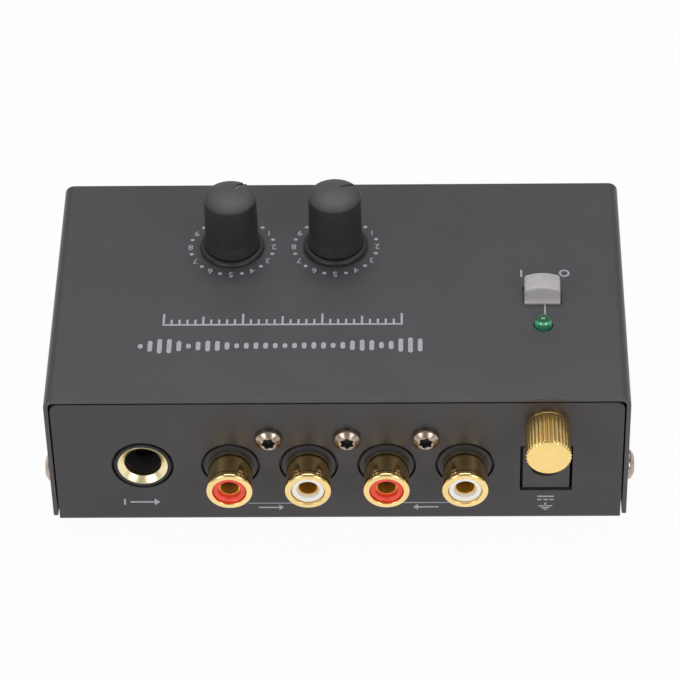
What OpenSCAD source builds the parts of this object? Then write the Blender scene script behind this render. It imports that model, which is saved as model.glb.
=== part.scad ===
// Phono preamp in a folded sheet-metal case.
// Millimetres. +Z is up, the connector panel faces -Y and +X runs along it.
// The origin is at the middle of the overall box, on the surface that the feet stand on.

/* [Case] */
// Width of the case over the cover's side walls
case_w = 104; // [102:1:130]
// Depth of the case over the connector panel and the back panel
case_d = 59; // [58:1:80]
// Height of the case from the tray's underside to the cover's top
case_h = 30; // [29:0.5:40]
// Sheet thickness of the cover
cover_t = 0.8; // [0.6:0.1:1.2]
// Sheet thickness of the tray
tray_t = 1; // [0.8:0.1:1.2]
// Gap between the cover and the edges of the tray's panels
seam = 0.3; // [0.2:0.05:0.5]
// Outside bend radius of the cover
cover_r = 1.8; // [1.4:0.1:3]
// Outside bend radius of the tray
tray_r = 1.1; // [1:0.1:1.6]
// Radius of the panels' upper corners
panel_r = 1.6; // [1:0.1:2.5]
// Height of the cover's lower edges above the tray's underside
cover_lift = 0.9; // [0.3:0.1:1.2]

/* [Feet] */
// Diameter of a foot
foot_d = 9; // [6:0.5:10]
// Height of a foot
foot_h = 2; // [1.6:0.1:5]
// Distance of a foot's middle from the case's sides
foot_inset = 8; // [7:0.5:14]
// Gap between a foot and the board screw beside it
foot_gap = 0.5; // [0.3:0.1:1.5]

/* [Fasteners] */
// Diameter of a cover screw's head
cover_head_d = 5.5; // [5:0.1:6]
// Height of a cover screw's head
cover_head_h = 1.7; // [1.2:0.1:2]
// Length of a cover screw below its head
cover_screw_l = 4; // [3:0.5:4.5]
// Distance of the cover screws from the panels
cover_screw_y = 7.5; // [6.5:0.5:9]
// Height of the cover screws above the tray's underside
cover_screw_z = 6.5; // [5:0.5:8]
// Length of an ear of the tray along the side wall
ear_l = 10; // [8:0.5:11]
// Diameter of a socket screw's head
panel_head_d = 4.8; // [4.4:0.1:5.2]
// Height of a socket screw's head
panel_head_h = 1.7; // [1.2:0.1:2]
// Length of a socket screw below its head
panel_screw_l = 8; // [6:1:9]
// Height of a board screw's head, under the tray
board_head_h = 1.4; // [1:0.1:1.5]
// Length of a board screw below its head
board_screw_l = 4.5; // [3:0.5:5]
// Thread diameter of all machine screws
thread_d = 3; // [2.5:0.1:3]
// Radial clearance of a thread in its hole
thread_fit = 0.05; // [0.03:0.01:0.1]
// Radial clearance of a screw in a hole that it only passes
pass_fit = 0.2; // [0.1:0.05:0.3]

/* [Board] */
// Thickness of the circuit board
board_t = 1.6; // [1.2:0.1:2]
// Height of the standoffs under the board
standoff_h = 4.9; // [4:0.1:6]
// Diameter of a standoff
standoff_d = 5; // [4.5:0.1:5.5]
// Gap between the board and the inside of the tray
board_gap = 0.9; // [0.5:0.1:1.2]
// Distance of the standoffs from the board's side edges
standoff_x = 3.3; // [3:0.1:3.6]
// Distance of the standoffs from the panels' outer faces
standoff_from_panel = 15.5; // [14.5:0.1:16]
// Depth of the notches that clear the cover screws
notch_x = 3.6; // [3:0.1:4]
// Width of the notches that clear the cover screws
notch_y = 8; // [7:0.5:8.5]

/* [Phono sockets] */
// Distance between neighbouring phono sockets
rca_spacing = 14; // [13.6:0.1:14.2]
// Middle of the socket row, right of the case's middle
rca_x = 1.7; // [1:0.1:2.4]
// Height of the socket axes above the board
rca_axis_h = 6.4; // [6.2:0.1:7]
// Outside diameter of a barrel
rca_barrel_d = 8.3; // [8.1:0.1:8.5]
// Wall of a barrel
rca_wall = 1.1; // [0.9:0.1:1.2]
// How far a barrel stands out of the panel
rca_reach = 6.9; // [5:0.1:8]
// Diameter of a moulded nose round a barrel
rca_nose_d = 9.6; // [9.2:0.1:9.8]
// How far the nose stands out of the panel
rca_nose_reach = 0.1; // [0:0.1:0.4]
// How far the collar under a barrel stands out of the panel
rca_collar_reach = 0.7; // [0.5:0.1:1.2]
// Depth of the bowl in an insulator's face
bowl_depth = 0.7; // [0.4:0.1:1.2]
// Bore of a centre contact
rca_bore_d = 3.3; // [3.2:0.1:3.4]
// Depth of the socket housing behind the panel
rca_depth = 10; // [9:0.5:11]
// Height of the socket housing
rca_housing_h = 15.8; // [15.4:0.1:16.4]
// Height of the socket screws above the socket axes
panel_screw_dz = 6.7; // [6.4:0.1:7]

/* [Large jack] */
// Distance from the jack's axis to the first phono socket's axis
jack_spacing = 15.8; // [15:0.1:17]
// Height of the jack's axis above the board
jack_axis_h = 6.45; // [6.1:0.05:7]
// Bore of the jack
jack_bore_d = 6.5; // [6.4:0.05:6.6]
// Outside diameter of the gold ferrule
jack_ferrule_d = 9; // [8.6:0.1:9.2]
// Length of the gold ferrule
jack_ferrule_l = 2.1; // [1.6:0.1:4]
// Outside diameter of the moulded nose
jack_nose_d = 10.2; // [10:0.1:10.6]
// How far the nose stands out of the panel
jack_nose_reach = 0.1; // [0:0.1:0.6]
// Width of the jack's housing
jack_w = 14.4; // [13.6:0.1:14.6]
// Height of the jack's housing
jack_h = 13.4; // [13:0.1:15]
// Depth of the jack's housing behind the panel
jack_depth = 31; // [29:1:33]

/* [DC socket] */
// Distance from the last phono socket's axis to the DC socket and the ground terminal
column_spacing = 14.6; // [13.8:0.1:15.6]
// Width of the DC socket's housing
dc_w = 9; // [8.6:0.1:9.4]
// Height of the DC socket's housing
dc_h = 10.6; // [10.2:0.1:11]
// Length of the DC socket's housing
dc_l = 14.2; // [13:0.1:15]
// Height of the DC socket's axis above the board
dc_axis_h = 6.3; // [6:0.1:6.6]
// Bore of the DC socket
dc_bore_d = 6.2; // [5.8:0.1:6.4]
// Diameter of the DC socket's centre pin
dc_pin_d = 2; // [1.9:0.1:2.5]
// Depth of the DC socket's bore
dc_bore_l = 9.5; // [9:0.1:10]

/* [Ground terminal] */
// Diameter of the thumb nut over its knurl
nut_d = 8.1; // [7.4:0.1:9]
// Length of the thumb nut
nut_l = 7.7; // [7:0.1:9]
// Thread diameter of the stud
stud_d = 4; // [3.5:0.1:4.5]
// How far the stud stands out of the panel
stud_reach = 6.3; // [5.5:0.1:6.6]
// Radial running clearance of the stud in the thumb nut
stud_fit = 0.05; // [0.03:0.01:0.08]
// Thickness of the washer under the thumb nut
washer_t = 0.8; // [0.5:0.1:1]
// Number of flutes of the knurl
flutes = 30; // [24:1:36]

/* [Knobs] */
// Middle of the left knob, left of the case's middle
left_knob_x = 19.8; // [18.5:0.1:20.5]
// Middle of the right knob, left of the case's middle
right_knob_x = 0.7; // [-0.5:0.1:2]
// Distance of the knobs' axes behind the connector panel
knob_from_panel = 41.2; // [40.6:0.1:42]
// Diameter of a knob's skirt
skirt_d = 12; // [11.4:0.1:13]
// Height of a knob's skirt
skirt_h = 0.6; // [0.5:0.1:1.2]
// Diameter of a knob's grip at its foot
grip_foot_d = 10.5; // [10.2:0.1:10.8]
// Diameter of a knob's grip at its rim
grip_rim_d = 9.6; // [9.4:0.1:9.8]
// Height of a knob from its skirt's underside to the middle of its top
knob_h = 13.1; // [12.6:0.1:14.5]
// Rise of the domed top from its rim to its middle
dome_h = 1.35; // [1:0.05:1.6]
// Gap between the left knob and the cover
knob_gap = 0.2; // [0.2:0.1:0.6]
// How much higher the right knob sits on its shaft than the left one
right_knob_lift = 0.3; // [0:0.1:0.6]
// Width of the pointer's notch
pointer_w = 0.6; // [0.5:0.05:1]
// Depth of the pointer's face below the domed top
pointer_sink = 0.45; // [0.3:0.05:0.8]
// Direction of the left pointer at rest, from +Y towards +X
left_pointer_deg = 32; // [0:1:60]
// Direction of the right pointer at rest, from +Y towards +X
right_pointer_deg = 51; // [0:1:60]

/* [Potentiometers] */
// Diameter of a potentiometer's shaft
shaft_d = 6; // [5.8:0.1:6.2]
// Depth of the flat on a shaft
shaft_flat = 1.5; // [1:0.1:1.8]
// Radial clearance of a shaft in its bushing
shaft_fit = 0.05; // [0.02:0.01:0.1]
// Depth of the shaft's seat in a knob
shaft_seat = 9; // [8:0.1:9.4]
// Width of a potentiometer's can
pot_w = 9.8; // [9.4:0.1:10.4]
// Depth of a potentiometer's can
pot_d = 11.3; // [10.8:0.1:11.8]
// Height of a potentiometer from the board to the top of its can
pot_h = 6.8; // [6.5:0.1:8]
// Diameter of a potentiometer's bushing
bushing_d = 7.4; // [7:0.1:8]
// Height of a potentiometer's bushing
bushing_h = 5; // [4:0.1:6]

/* [Power switch] */
// How far the push button and the light stand left of the DC socket's axis
key_offset = 0.3; // [0:0.1:0.6]
// Distance of the push button's middle behind the connector panel
button_from_panel = 27.4; // [26.9:0.1:27.7]
// Width of the push button
button_w = 6.5; // [6.2:0.1:7]
// Depth of the push button
button_d = 4.7; // [4.5:0.1:5]
// Height of the push button above the cover, at its middle
button_h = 3.5; // [3.2:0.1:4]
// Radius of the arched top of the push button
button_arch_r = 7.2; // [6:0.1:9]
// How far the push button's front steps in above its foot
button_ledge = 0.45; // [0.3:0.05:0.6]
// Gap round the push button in the cover
button_gap = 0.2; // [0.15:0.01:0.3]
// Travel of the push button
button_travel = 2.5; // [2:0.1:3]
// Width of the switch's housing
switch_w = 8; // [7.6:0.1:8.4]
// Height of the switch's housing and lid above the board
switch_h = 9.5; // [8.5:0.1:10]

/* [Indicator] */
// Distance of the light behind the connector panel
led_from_panel = 19.4; // [19.1:0.1:19.8]
// Diameter of the light
led_d = 3.2; // [2.9:0.1:3.3]
// How far the light stands out of the cover
led_reach = 2; // [1.6:0.1:2.5]

/* [Parts on the board] */
// Diameter of an electrolytic capacitor
cap_d = 6.3; // [5:0.1:6.5]
// Height of an electrolytic capacitor
cap_h = 11; // [7:0.5:16]
// Distance between neighbouring electrolytic capacitors
cap_step = 7.5; // [7:0.1:7.8]
// Length of a film capacitor
film_l = 7.2; // [6:0.1:7.5]
// Thickness of a film capacitor
film_t = 2.6; // [2:0.1:3.5]
// Height of a film capacitor
film_h = 6.5; // [5:0.5:9]
// Diameter of a resistor's body
resistor_d = 2.2; // [1.6:0.1:2.4]
// Length of a resistor's body
resistor_l = 6; // [5:0.1:6.5]
// Diameter of a resistor's leads
resistor_lead_d = 0.6; // [0.5:0.05:0.8]
// Length of an op-amp's body
chip_l = 9.3; // [9:0.1:9.8]
// Width of an op-amp's body
chip_w = 6.4; // [6:0.1:6.6]
// Height of an op-amp's body
chip_h = 3.3; // [3:0.1:3.6]
// Height of an op-amp's socket
chip_socket_h = 4; // [3:0.5:5]
// Width of the voltage regulator
regulator_w = 10; // [9:0.1:10.5]
// Height of the voltage regulator's body
regulator_h = 9; // [8:0.1:9.5]
// Thickness of the voltage regulator's body
regulator_t = 4.4; // [3.5:0.1:4.6]
// Length of the voltage regulator's metal tab above its body
regulator_tab_l = 6.4; // [5:0.1:6.6]

/* [Hidden] */
$fn = 64;

// Face-to-face allowance of parts that slip into each other
slip = 0.05;
// Overshoot of a cutting shape past the face that it cuts
eps = 1;

// Case
tray_w = case_w - 2 * (cover_t + seam);
panel_top = case_h - cover_t - seam;
panel_y = case_d / 2;
cover_under = case_h - cover_t;
screw_from_middle = case_d / 2 - cover_screw_y;
ear_rise = 4.5;
ear_h = cover_screw_z + ear_rise;
nut_reach = washer_t + nut_l;
case_y = nut_reach / 2;
nose_gap = 0.5;
shaft_hole_gap = 0.6;
led_hole_gap = 0.15;
dc_hole_gap = 0.2;
cover_corner_r = 0.8;
tray_corner_r = 0.6;
foot_chamfer = 0.4;
foot_dimple_r = foot_d / 5;

// Places along the panel
rca_row = [for (i = [-1.5, -0.5, 0.5, 1.5]) rca_x + i * rca_spacing];
jack_x = rca_row[0] - jack_spacing;
column_x = rca_row[3] + column_spacing;

// Places behind the panel
knob_y = knob_from_panel - panel_y;
key_x = column_x - key_offset;
button_y = button_from_panel - panel_y;
led_y = led_from_panel - panel_y;
knob_places = [-left_knob_x, -right_knob_x];

// Board
board_w = tray_w - 2 * (tray_t + board_gap);
board_d = case_d - 2 * (tray_t + board_gap);
board_under = tray_t + standoff_h;
board_top = board_under + board_t;
standoff_from_middle = board_w / 2 - standoff_x;
standoff_neck_r = thread_d / 2 + 0.5;
standoff_y = panel_y - standoff_from_panel;
foot_y = standoff_y + (cover_head_d + foot_d) / 2 + foot_gap;

// Sockets, in heights above the tray's underside
rca_z = board_top + rca_axis_h;
panel_screw_z = rca_z + panel_screw_dz;
jack_z = board_top + jack_axis_h;
dc_z = board_top + dc_axis_h;
rca_bore_r = rca_barrel_d / 2 - rca_wall;
rca_shoulder = 0.5;
rca_barrel_tail_r = rca_barrel_d / 2 - rca_shoulder;
rca_collar_step = 0.2;
rca_collar_r = rca_barrel_d / 2 - rca_collar_step;
rca_groove_w = 0.4;
rca_groove_depth = 0.6;
lip = 0.3;
rca_contact_wall = 0.35;
rca_contact_r = rca_bore_d / 2 + rca_contact_wall;
rca_seat = 7;
rca_seat_z = -tray_t - rca_seat;
rca_back_z = -tray_t - rca_depth;
rca_insulator_top = rca_reach - 0.4;
bowl_flare = 0.15;
bowl_floor = rca_insulator_top - bowl_depth;
contact_cover = 0.1;
bowl_hole_r = rca_contact_r - contact_cover;
contact_sink = 0.2;
rca_contact_top = bowl_floor - contact_sink;
rca_tail_r = 0.5;
rca_tab_t = 0.5;
rca_tab_gap = 0.9;
rca_end_wall = 7;
rca_housing_w = 3 * rca_spacing + 2 * rca_end_wall;

// Large jack
jack_back_z = -tray_t - jack_depth;
jack_back_wall = 2;
jack_bevel = 0.9;
jack_slot_w = 3.4;
jack_slot_depth = 2.35;
jack_slot_reach = jack_bore_d / 2 + jack_slot_depth;
jack_slot_back = 4;
jack_slot_front = 5;
jack_slot_z = jack_back_z + jack_slot_back;
jack_slot_l = jack_depth - jack_slot_back - jack_slot_front;
leaf_t = 0.4;
leaf_w = jack_slot_w - 0.6;
leaf_press = 0.17;

// DC socket
dc_front = -0.2;
dc_nose_l = 1.2;
dc_nose_step = 0.28;
dc_tail_r = dc_pin_d / 2 - 0.2;
dc_slot_wall = 1.5;
dc_slot_w = 1.8;
dc_slot_y = dc_axis_h - dc_bore_d / 2 - dc_slot_wall;
dc_slot_end = 1.5;
dc_slot_l = dc_bore_l - dc_slot_end;

// Ground terminal, midway between the DC socket and the cover
post_z = (board_top + dc_h + cover_under) / 2;
nut_bore_l = stud_reach - washer_t + 0.4;
nut_bevel = 0.3;
flute_r = 0.26;
tag_t = 0.5;
tag_rim = 1.6;
inner_nut_t = 3.2;
inner_nut_af = 1.75 * stud_d;
stud_spare = 0.5;
stud_tail = stud_spare + tag_t + inner_nut_t;
lead_r = 0.4;
lead_bend = 3;
lead_x = (column_x - dc_w / 2 + rca_row[3] + rca_end_wall) / 2 - column_x;

// Knobs and potentiometers
shaft_r = shaft_d / 2;
knob_under = case_h + knob_gap;
shaft_top = knob_under + shaft_seat - 0.2;
flat_from = 1.5;
core_r = shaft_r + 0.95;
core_h = shaft_seat + 0.8;
skirt_edge = 0.2;
skirt_slope = 0.45;
neck_step = 0.7;
pot_top = board_top + pot_h;
pot_sheet = 0.5;
wafer_t = 1.4;
terminal_spacing = 2.5;
terminal_w = 0.9;
terminal_t = 0.4;
rotor_gap = 0.2;
rotor_r = pot_w / 2 - pot_sheet - 0.4;
flange_t = 0.7;
flange_top = pot_top - pot_sheet - rotor_gap;

// The outline of a grip, from its foot over the rounded rim to the middle of the domed top.
// The rim's rounding touches the straight side and the dome's arc.
rim_r = 0.5;
rim_z = knob_h - dome_h;
groove_h = 0.3;
grip_foot_z = skirt_h + groove_h;
foot_flare = 0.35;
flare_h = 2.2;
pointer_start = 0.3;
notch_rise = 0.4;
notch_z = rim_z - pointer_sink - notch_rise;
dome_r = ((grip_rim_d / 2) ^ 2 + dome_h ^ 2) / (2 * dome_h);
dome_z = knob_h - dome_r;
rim_in = grip_rim_d / 2 - rim_r;
rim_up = sqrt((dome_r - rim_r) ^ 2 - rim_in ^ 2);
rim_end = atan2(rim_up, rim_in);
rim_arc = [for (i = [0:5]) let (a = rim_end * i / 5) [
    rim_in + rim_r * cos(a),
    dome_z + rim_up + rim_r * sin(a)
]];
dome_arc = [for (i = [1:7]) let (a = rim_end + (90 - rim_end) * i / 7) [
    i < 7 ? dome_r * cos(a) : 0,
    dome_z + dome_r * sin(a)
]];

// Switch
button_flange_t = 1;
button_flange_rim = 0.9;
button_flange_top = cover_under - 0.3;
button_stem_l = 5.4;
button_foot = button_flange_top - button_stem_l;
ledge_low = 0.15;
ledge_high = 1.05;
button_stem_gap = 0.3;
switch_wall = 1;
switch_lid_t = 1;
switch_lid_gap = 0.15;
switch_top = board_top + switch_h;
switch_pin_spacing = 2.5;
switch_pin_h = 1.5;
plunger_w = 3;
plunger_flange_w = 5.4;
plunger_flange_t = 1;
plunger_flange_top = switch_top - switch_lid_t - 0.1;
plunger_seat = 3;
plunger_top = button_foot + plunger_seat;
spring_wire_r = 0.18;
spring_r = 2.1;
spring_turns = 5;
spring_solid_h = 2 * spring_wire_r * (spring_turns + 1);
spring_spare = 1.14;
spring_top = plunger_flange_top - plunger_flange_t;
spring_floor = spring_top - button_travel - spring_solid_h - spring_spare;
spring_gap = 0.03;
spring_low = spring_floor + spring_wire_r + spring_gap;
spring_rise = spring_top - spring_floor - 2 * (spring_wire_r + spring_gap);
spring_sides = 8;
spring_steps = 20 * spring_turns;

// Light
led_r = led_d / 2;
led_top = case_h + led_reach;
led_l = 5.3;
led_base = led_top - led_l;
led_flange_t = 0.8;
led_flange_rim = 0.25;
led_spacer_wall = 0.9;
lead_spacing = 2.54;
lead_w = 0.5;

// Parts on the board, in rows behind the phono sockets and behind the jack
sockets_back = tray_t + rca_depth - panel_y;
jack_back = tray_t + jack_depth - panel_y;
row_gap = 1;
film_step = 8.5;
film_behind_sockets = 19.9;
film_y = sockets_back + film_behind_sockets;
cap_rows = [max(jack_back, film_y + film_t / 2) + row_gap + cap_d / 2, board_d / 2 - row_gap - cap_d / 2];
cap_base = 1;
cap_groove = 0.6;
cap_groove_t = 0.2;
caps_from_column = 10.7;
cap_columns = concat(
    [for (i = [0:2]) column_x - caps_from_column - i * cap_step],
    [for (s = [-1, 1]) jack_x + s * cap_step / 2]
);
resistor_step = 2.8;
resistors_behind_sockets = 4.5;
resistor_y = sockets_back + resistors_behind_sockets;
resistors_from_middle = 16.8;
resistor_gap = 11;
resistor_columns = [for (s = [-1, 1]) rca_x + resistors_from_middle + s * resistor_gap / 2];
resistor_rise = 1.5;
resistor_lead_l = 1.2;
resistor_span = resistor_l + 2 * resistor_lead_l;
chips_behind_sockets = 10.5;
chip_y = sockets_back + chips_behind_sockets;
chips_from_middle = 10.7;
chip_gap = 16;
chip_columns = [for (s = [-1, 1]) rca_x - chips_from_middle + s * chip_gap / 2];
chip_pin_spacing = 2.54;
chip_pin_w = 0.6;
chip_rise = 0.4;
chip_mark_r = 0.8;
chip_mark_depth = 0.3;
chip_socket_rim = 0.45;
regulator_from_back = 7.6;
regulator_lead_l = 2;
regulator_lead_w = 0.8;
regulator_tab_t = 1.3;
regulator_hole_r = 1.8;

// Moves a shape from the case's own middle to the part's frame.
module place() {
    translate([0, case_y, foot_h]) children();
}

// Puts a shape on the connector panel's outer face: its X is the part's X, its Y is up and
// its Z points out of the panel.
module on_panel(x, z) {
    translate([x, -panel_y, z]) rotate([90, 0, 0]) children();
}

// Extrudes a drawing of width and height along the case's depth.
module along_y(y0, y1) {
    translate([0, y1, 0]) rotate([90, 0, 0]) linear_extrude(height = y1 - y0) children();
}

// Extrudes a drawing of depth and height along the case's width.
module along_x(x0, x1) {
    translate([x0, 0, 0]) rotate([90, 0, 90]) linear_extrude(height = x1 - x0) children();
}

// A rectangle that stands on the X axis and has round upper corners.
module round_top(w, h, r) {
    translate([-w / 2, 0]) square([w, h - r]);
    translate([-w / 2 + r, 0]) square([w - 2 * r, h]);
    for (s = [-1, 1]) translate([s * (w / 2 - r), h - r]) circle(r);
}

// A rectangle that stands on the X axis and has round lower corners.
module round_foot(w, h, r) {
    translate([-w / 2, r]) square([w, h - r]);
    translate([-w / 2 + r, 0]) square([w - 2 * r, h]);
    for (s = [-1, 1]) translate([s * (w / 2 - r), r]) circle(r);
}

// A block that is centred in X and Y and stands at height z0.
module block(w, d, z0, z1) {
    translate([-w / 2, -d / 2, z0]) cube([w, d, z1 - z0]);
}

// A round bar along Z between two heights.
module bar(r, z0, z1) {
    translate([0, 0, z0]) cylinder(r = r, h = z1 - z0);
}

// A round tube along Z between two heights.
module tube(r_out, r_in, z0, z1) {
    difference() {
        bar(r_out, z0, z1);
        bar(r_in, z0 - eps, z1 + eps);
    }
}

// A six-lobed recess that is cut downwards from z = 0.
module star_recess(r, depth) {
    lobe_r = 0.24 * r;
    bar(0.78 * r, -depth, eps);
    for (a = [0:60:300]) rotate(a) translate([r - lobe_r, 0, -depth]) cylinder(r = lobe_r, h = depth + eps);
}

// A pan-head screw: the head stands on z = 0 and the shank hangs below.
module pan_screw(head_d, head_h, shank_d, shank_l) {
    crown_r = 0.8 * head_d;
    difference() {
        union() {
            intersection() {
                bar(head_d / 2, 0, head_h);
                translate([0, 0, head_h - crown_r]) sphere(r = crown_r);
            }
            bar(shank_d / 2, -shank_l, 0.1);
        }
        translate([0, 0, head_h]) star_recess(0.27 * head_d, 0.6 * head_h);
    }
}

module at_cover_screws() {
    for (s = [-1, 1], t = [-1, 1])
        translate([s * case_w / 2, t * screw_from_middle, cover_screw_z])
            rotate([0, s * 90, 0]) children();
}

module at_standoffs() {
    for (s = [-1, 1], t = [-1, 1])
        translate([s * standoff_from_middle, t * standoff_y, 0]) children();
}

module at_panel_screws() {
    for (i = [0:2]) on_panel((rca_row[i] + rca_row[i + 1]) / 2, panel_screw_z) children();
}

module at_pots() {
    for (x = knob_places) translate([x, knob_y, 0]) children();
}

module at_button() {
    translate([key_x, button_y, 0]) children();
}

module at_led() {
    translate([key_x, led_y, 0]) children();
}

// Case ----------------------------------------------------------------------

module top_cover() color([0.30, 0.30, 0.31]) place() difference() {
    along_y(-case_d / 2, case_d / 2) difference() {
        round_top(case_w, case_h, cover_r);
        round_top(case_w - 2 * cover_t, cover_under, cover_r - cover_t);
        translate([-case_w / 2 - eps, -eps]) square([case_w + 2 * eps, cover_lift + eps]);
    }
    cover_corners();
    at_pots() bar(shaft_r + shaft_hole_gap, cover_under - eps, case_h + eps);
    at_button() block(button_w + 2 * button_gap, button_d + 2 * button_gap, cover_under - eps, case_h + eps);
    at_led() bar(led_r + led_hole_gap, cover_under - eps, case_h + eps);
    at_cover_screws() bar(thread_d / 2 + pass_fit, -cover_t - seam, eps);
}

// What the rounded lower corners of the cover's side walls leave out.
module cover_corners() along_x(-case_w / 2 - eps, case_w / 2 + eps) difference() {
    translate([-case_d / 2 - eps, cover_lift - eps]) square([case_d + 2 * eps, cover_corner_r + eps]);
    translate([0, cover_lift]) round_foot(case_d, 2 * cover_corner_r, cover_corner_r);
}

module chassis_tray() color([0.28, 0.28, 0.29]) place() difference() {
    union() {
        intersection() {
            along_x(-tray_w / 2, tray_w / 2) difference() {
                round_foot(case_d, panel_top, tray_r);
                translate([0, tray_t])
                    round_foot(case_d - 2 * tray_t, panel_top, max(tray_r - tray_t, 0) + 0.1);
            }
            along_y(-case_d / 2, case_d / 2) intersection() {
                round_top(tray_w, panel_top, panel_r);
                round_foot(tray_w, panel_top, tray_corner_r);
            }
        }
        for (s = [-1, 1], t = [-1, 1])
            translate([s * (tray_w - tray_t) / 2, t * screw_from_middle, 0]) block(tray_t, ear_l, 0, ear_h);
    }
    at_cover_screws() bar(thread_d / 2 + thread_fit, -cover_t - seam - tray_t - eps, -cover_t);
    at_standoffs() bar(thread_d / 2 + pass_fit, -eps, tray_t + eps);
    for (x = rca_row) on_panel(x, rca_z) bar(rca_nose_d / 2 + nose_gap, -tray_t - eps, eps);
    at_panel_screws() bar(thread_d / 2 + pass_fit, -tray_t - eps, eps);
    on_panel(jack_x, jack_z) bar(jack_nose_d / 2 + nose_gap, -tray_t - eps, eps);
    on_panel(column_x, board_top + dc_h / 2)
        block(dc_w + 2 * dc_hole_gap, dc_h + 2 * dc_hole_gap, -tray_t - eps, eps);
    on_panel(column_x, post_z) bar(stud_d / 2 + slip, -tray_t - eps, eps);
}

module rubber_feet() color([0.1, 0.1, 0.1]) place()
    for (s = [-1, 1], t = [-1, 1])
        translate([s * (case_w / 2 - foot_inset), t * foot_y, -foot_h]) difference() {
            union() {
                cylinder(r1 = foot_d / 2 - foot_chamfer, r2 = foot_d / 2, h = foot_chamfer);
                bar(foot_d / 2, foot_chamfer, foot_h);
            }
            bar(foot_dimple_r, -eps, foot_chamfer);
        }

module cover_screws() color([0.75, 0.72, 0.68]) place()
    at_cover_screws() pan_screw(cover_head_d, cover_head_h, thread_d, cover_screw_l);

// Board ---------------------------------------------------------------------

module circuit_board() color([0.05, 0.3, 0.15]) place() difference() {
    block(board_w, board_d, board_under, board_top);
    at_standoffs() bar(standoff_neck_r + slip, board_under - eps, board_top + eps);
    for (s = [-1, 1], t = [-1, 1])
        translate([s * board_w / 2, t * screw_from_middle, 0])
            block(2 * notch_x, notch_y, board_under - eps, board_top + eps);
}

// A standoff stands on the tray, and its neck is seated in the board.
module board_standoffs() color([0.7, 0.7, 0.72]) place() at_standoffs() difference() {
    union() {
        bar(standoff_d / 2, tray_t, board_under);
        bar(standoff_neck_r, board_under - 0.1, board_top);
    }
    bar(thread_d / 2 + thread_fit, tray_t - eps, board_top + eps);
}

// These screws come up through the tray's floor.
module board_screws() color([0.75, 0.72, 0.68]) place()
    at_standoffs() rotate([180, 0, 0]) pan_screw(cover_head_d, board_head_h, thread_d, board_screw_l);

// Phono sockets ---------------------------------------------------------------

module phono_socket_housing() color([0.1, 0.1, 0.1]) place() difference() {
    union() {
        on_panel(rca_x, board_top) translate([-rca_housing_w / 2, 0, rca_back_z])
            cube([rca_housing_w, rca_housing_h, rca_depth]);
        for (x = rca_row) on_panel(x, rca_z) {
            bar(rca_nose_d / 2, -tray_t - eps, rca_nose_reach);
            bar(rca_collar_r, -tray_t - eps, rca_collar_reach);
        }
    }
    for (x = rca_row) on_panel(x, rca_z) {
        tube(rca_collar_r + rca_groove_w, rca_collar_r, -rca_groove_depth, 0);
        bar(rca_barrel_tail_r + slip, rca_seat_z, rca_collar_reach + eps);
        bar(rca_tail_r + slip, rca_back_z - eps, 0);
    }
    at_panel_screws() bar(thread_d / 2 + thread_fit, -panel_screw_l - 0.5, eps);
}

// A barrel's shoulder stands on the collar, and its narrower tail is seated in the housing.
module phono_barrels() color([0.85, 0.68, 0.35]) place()
    for (x = rca_row) on_panel(x, rca_z) difference() {
        union() {
            bar(rca_barrel_tail_r, rca_seat_z, rca_collar_reach + 0.1);
            bar(rca_barrel_d / 2, rca_collar_reach, rca_reach - lip);
            translate([0, 0, rca_reach - lip])
                cylinder(r1 = rca_barrel_d / 2, r2 = rca_barrel_d / 2 - lip, h = lip);
        }
        bar(rca_bore_r, rca_seat_z - eps, rca_reach + eps);
        translate([0, 0, rca_reach - lip]) cylinder(r1 = rca_bore_r, r2 = rca_bore_r + 2 * lip, h = 2 * lip);
    }

// An insulator: a plug that fills the barrel, with a flat front and a steep bowl that leads
// down to the contact's front face.
module insulator() difference() {
    bar(rca_bore_r - slip, rca_seat_z, rca_insulator_top);
    bar(rca_contact_r + slip, rca_seat_z - eps, rca_contact_top);
    bar(bowl_hole_r, 0, rca_reach);
    translate([0, 0, bowl_floor])
        cylinder(r1 = bowl_hole_r, r2 = bowl_hole_r + bowl_flare, h = bowl_depth + 0.01);
}

module red_insulators() color([0.85, 0.2, 0.15]) place()
    for (i = [0, 2]) on_panel(rca_row[i], rca_z) insulator();

module white_insulators() color([0.92, 0.92, 0.9]) place()
    for (i = [1, 3]) on_panel(rca_row[i], rca_z) insulator();

module phono_contacts() color([0.85, 0.68, 0.35]) place()
    for (x = rca_row) on_panel(x, rca_z) {
        tube(rca_contact_r, rca_bore_d / 2, rca_seat_z + 1, rca_contact_top);
        bar(rca_contact_r, rca_seat_z, rca_seat_z + 1);
        bar(rca_tail_r, rca_back_z - rca_tab_gap - rca_tab_t / 2, rca_seat_z + 0.5);
        translate([-rca_tail_r, -rca_axis_h, rca_back_z - rca_tab_gap - rca_tab_t])
            cube([2 * rca_tail_r, rca_axis_h + rca_tail_r, rca_tab_t]);
    }

module phono_socket_screws() color([0.75, 0.7, 0.62]) place()
    at_panel_screws() pan_screw(panel_head_d, panel_head_h, thread_d, panel_screw_l);

// Large jack ------------------------------------------------------------------

// The slots over and under the bore hold its spring contacts.
module jack_housing() color([0.12, 0.12, 0.12]) place() on_panel(jack_x, jack_z) difference() {
    union() {
        translate([-jack_w / 2, -jack_axis_h, jack_back_z]) cube([jack_w, jack_h, jack_depth]);
        bar(jack_nose_d / 2, -tray_t - eps, jack_nose_reach);
    }
    bar(jack_bore_d / 2, jack_back_z + jack_back_wall, jack_nose_reach + eps);
    bar(jack_ferrule_d / 2 + slip, jack_nose_reach - jack_ferrule_l - slip, jack_nose_reach + eps);
    translate([-jack_slot_w / 2, -jack_slot_reach, jack_slot_z])
        cube([jack_slot_w, 2 * jack_slot_reach, jack_slot_l]);
}

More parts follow.
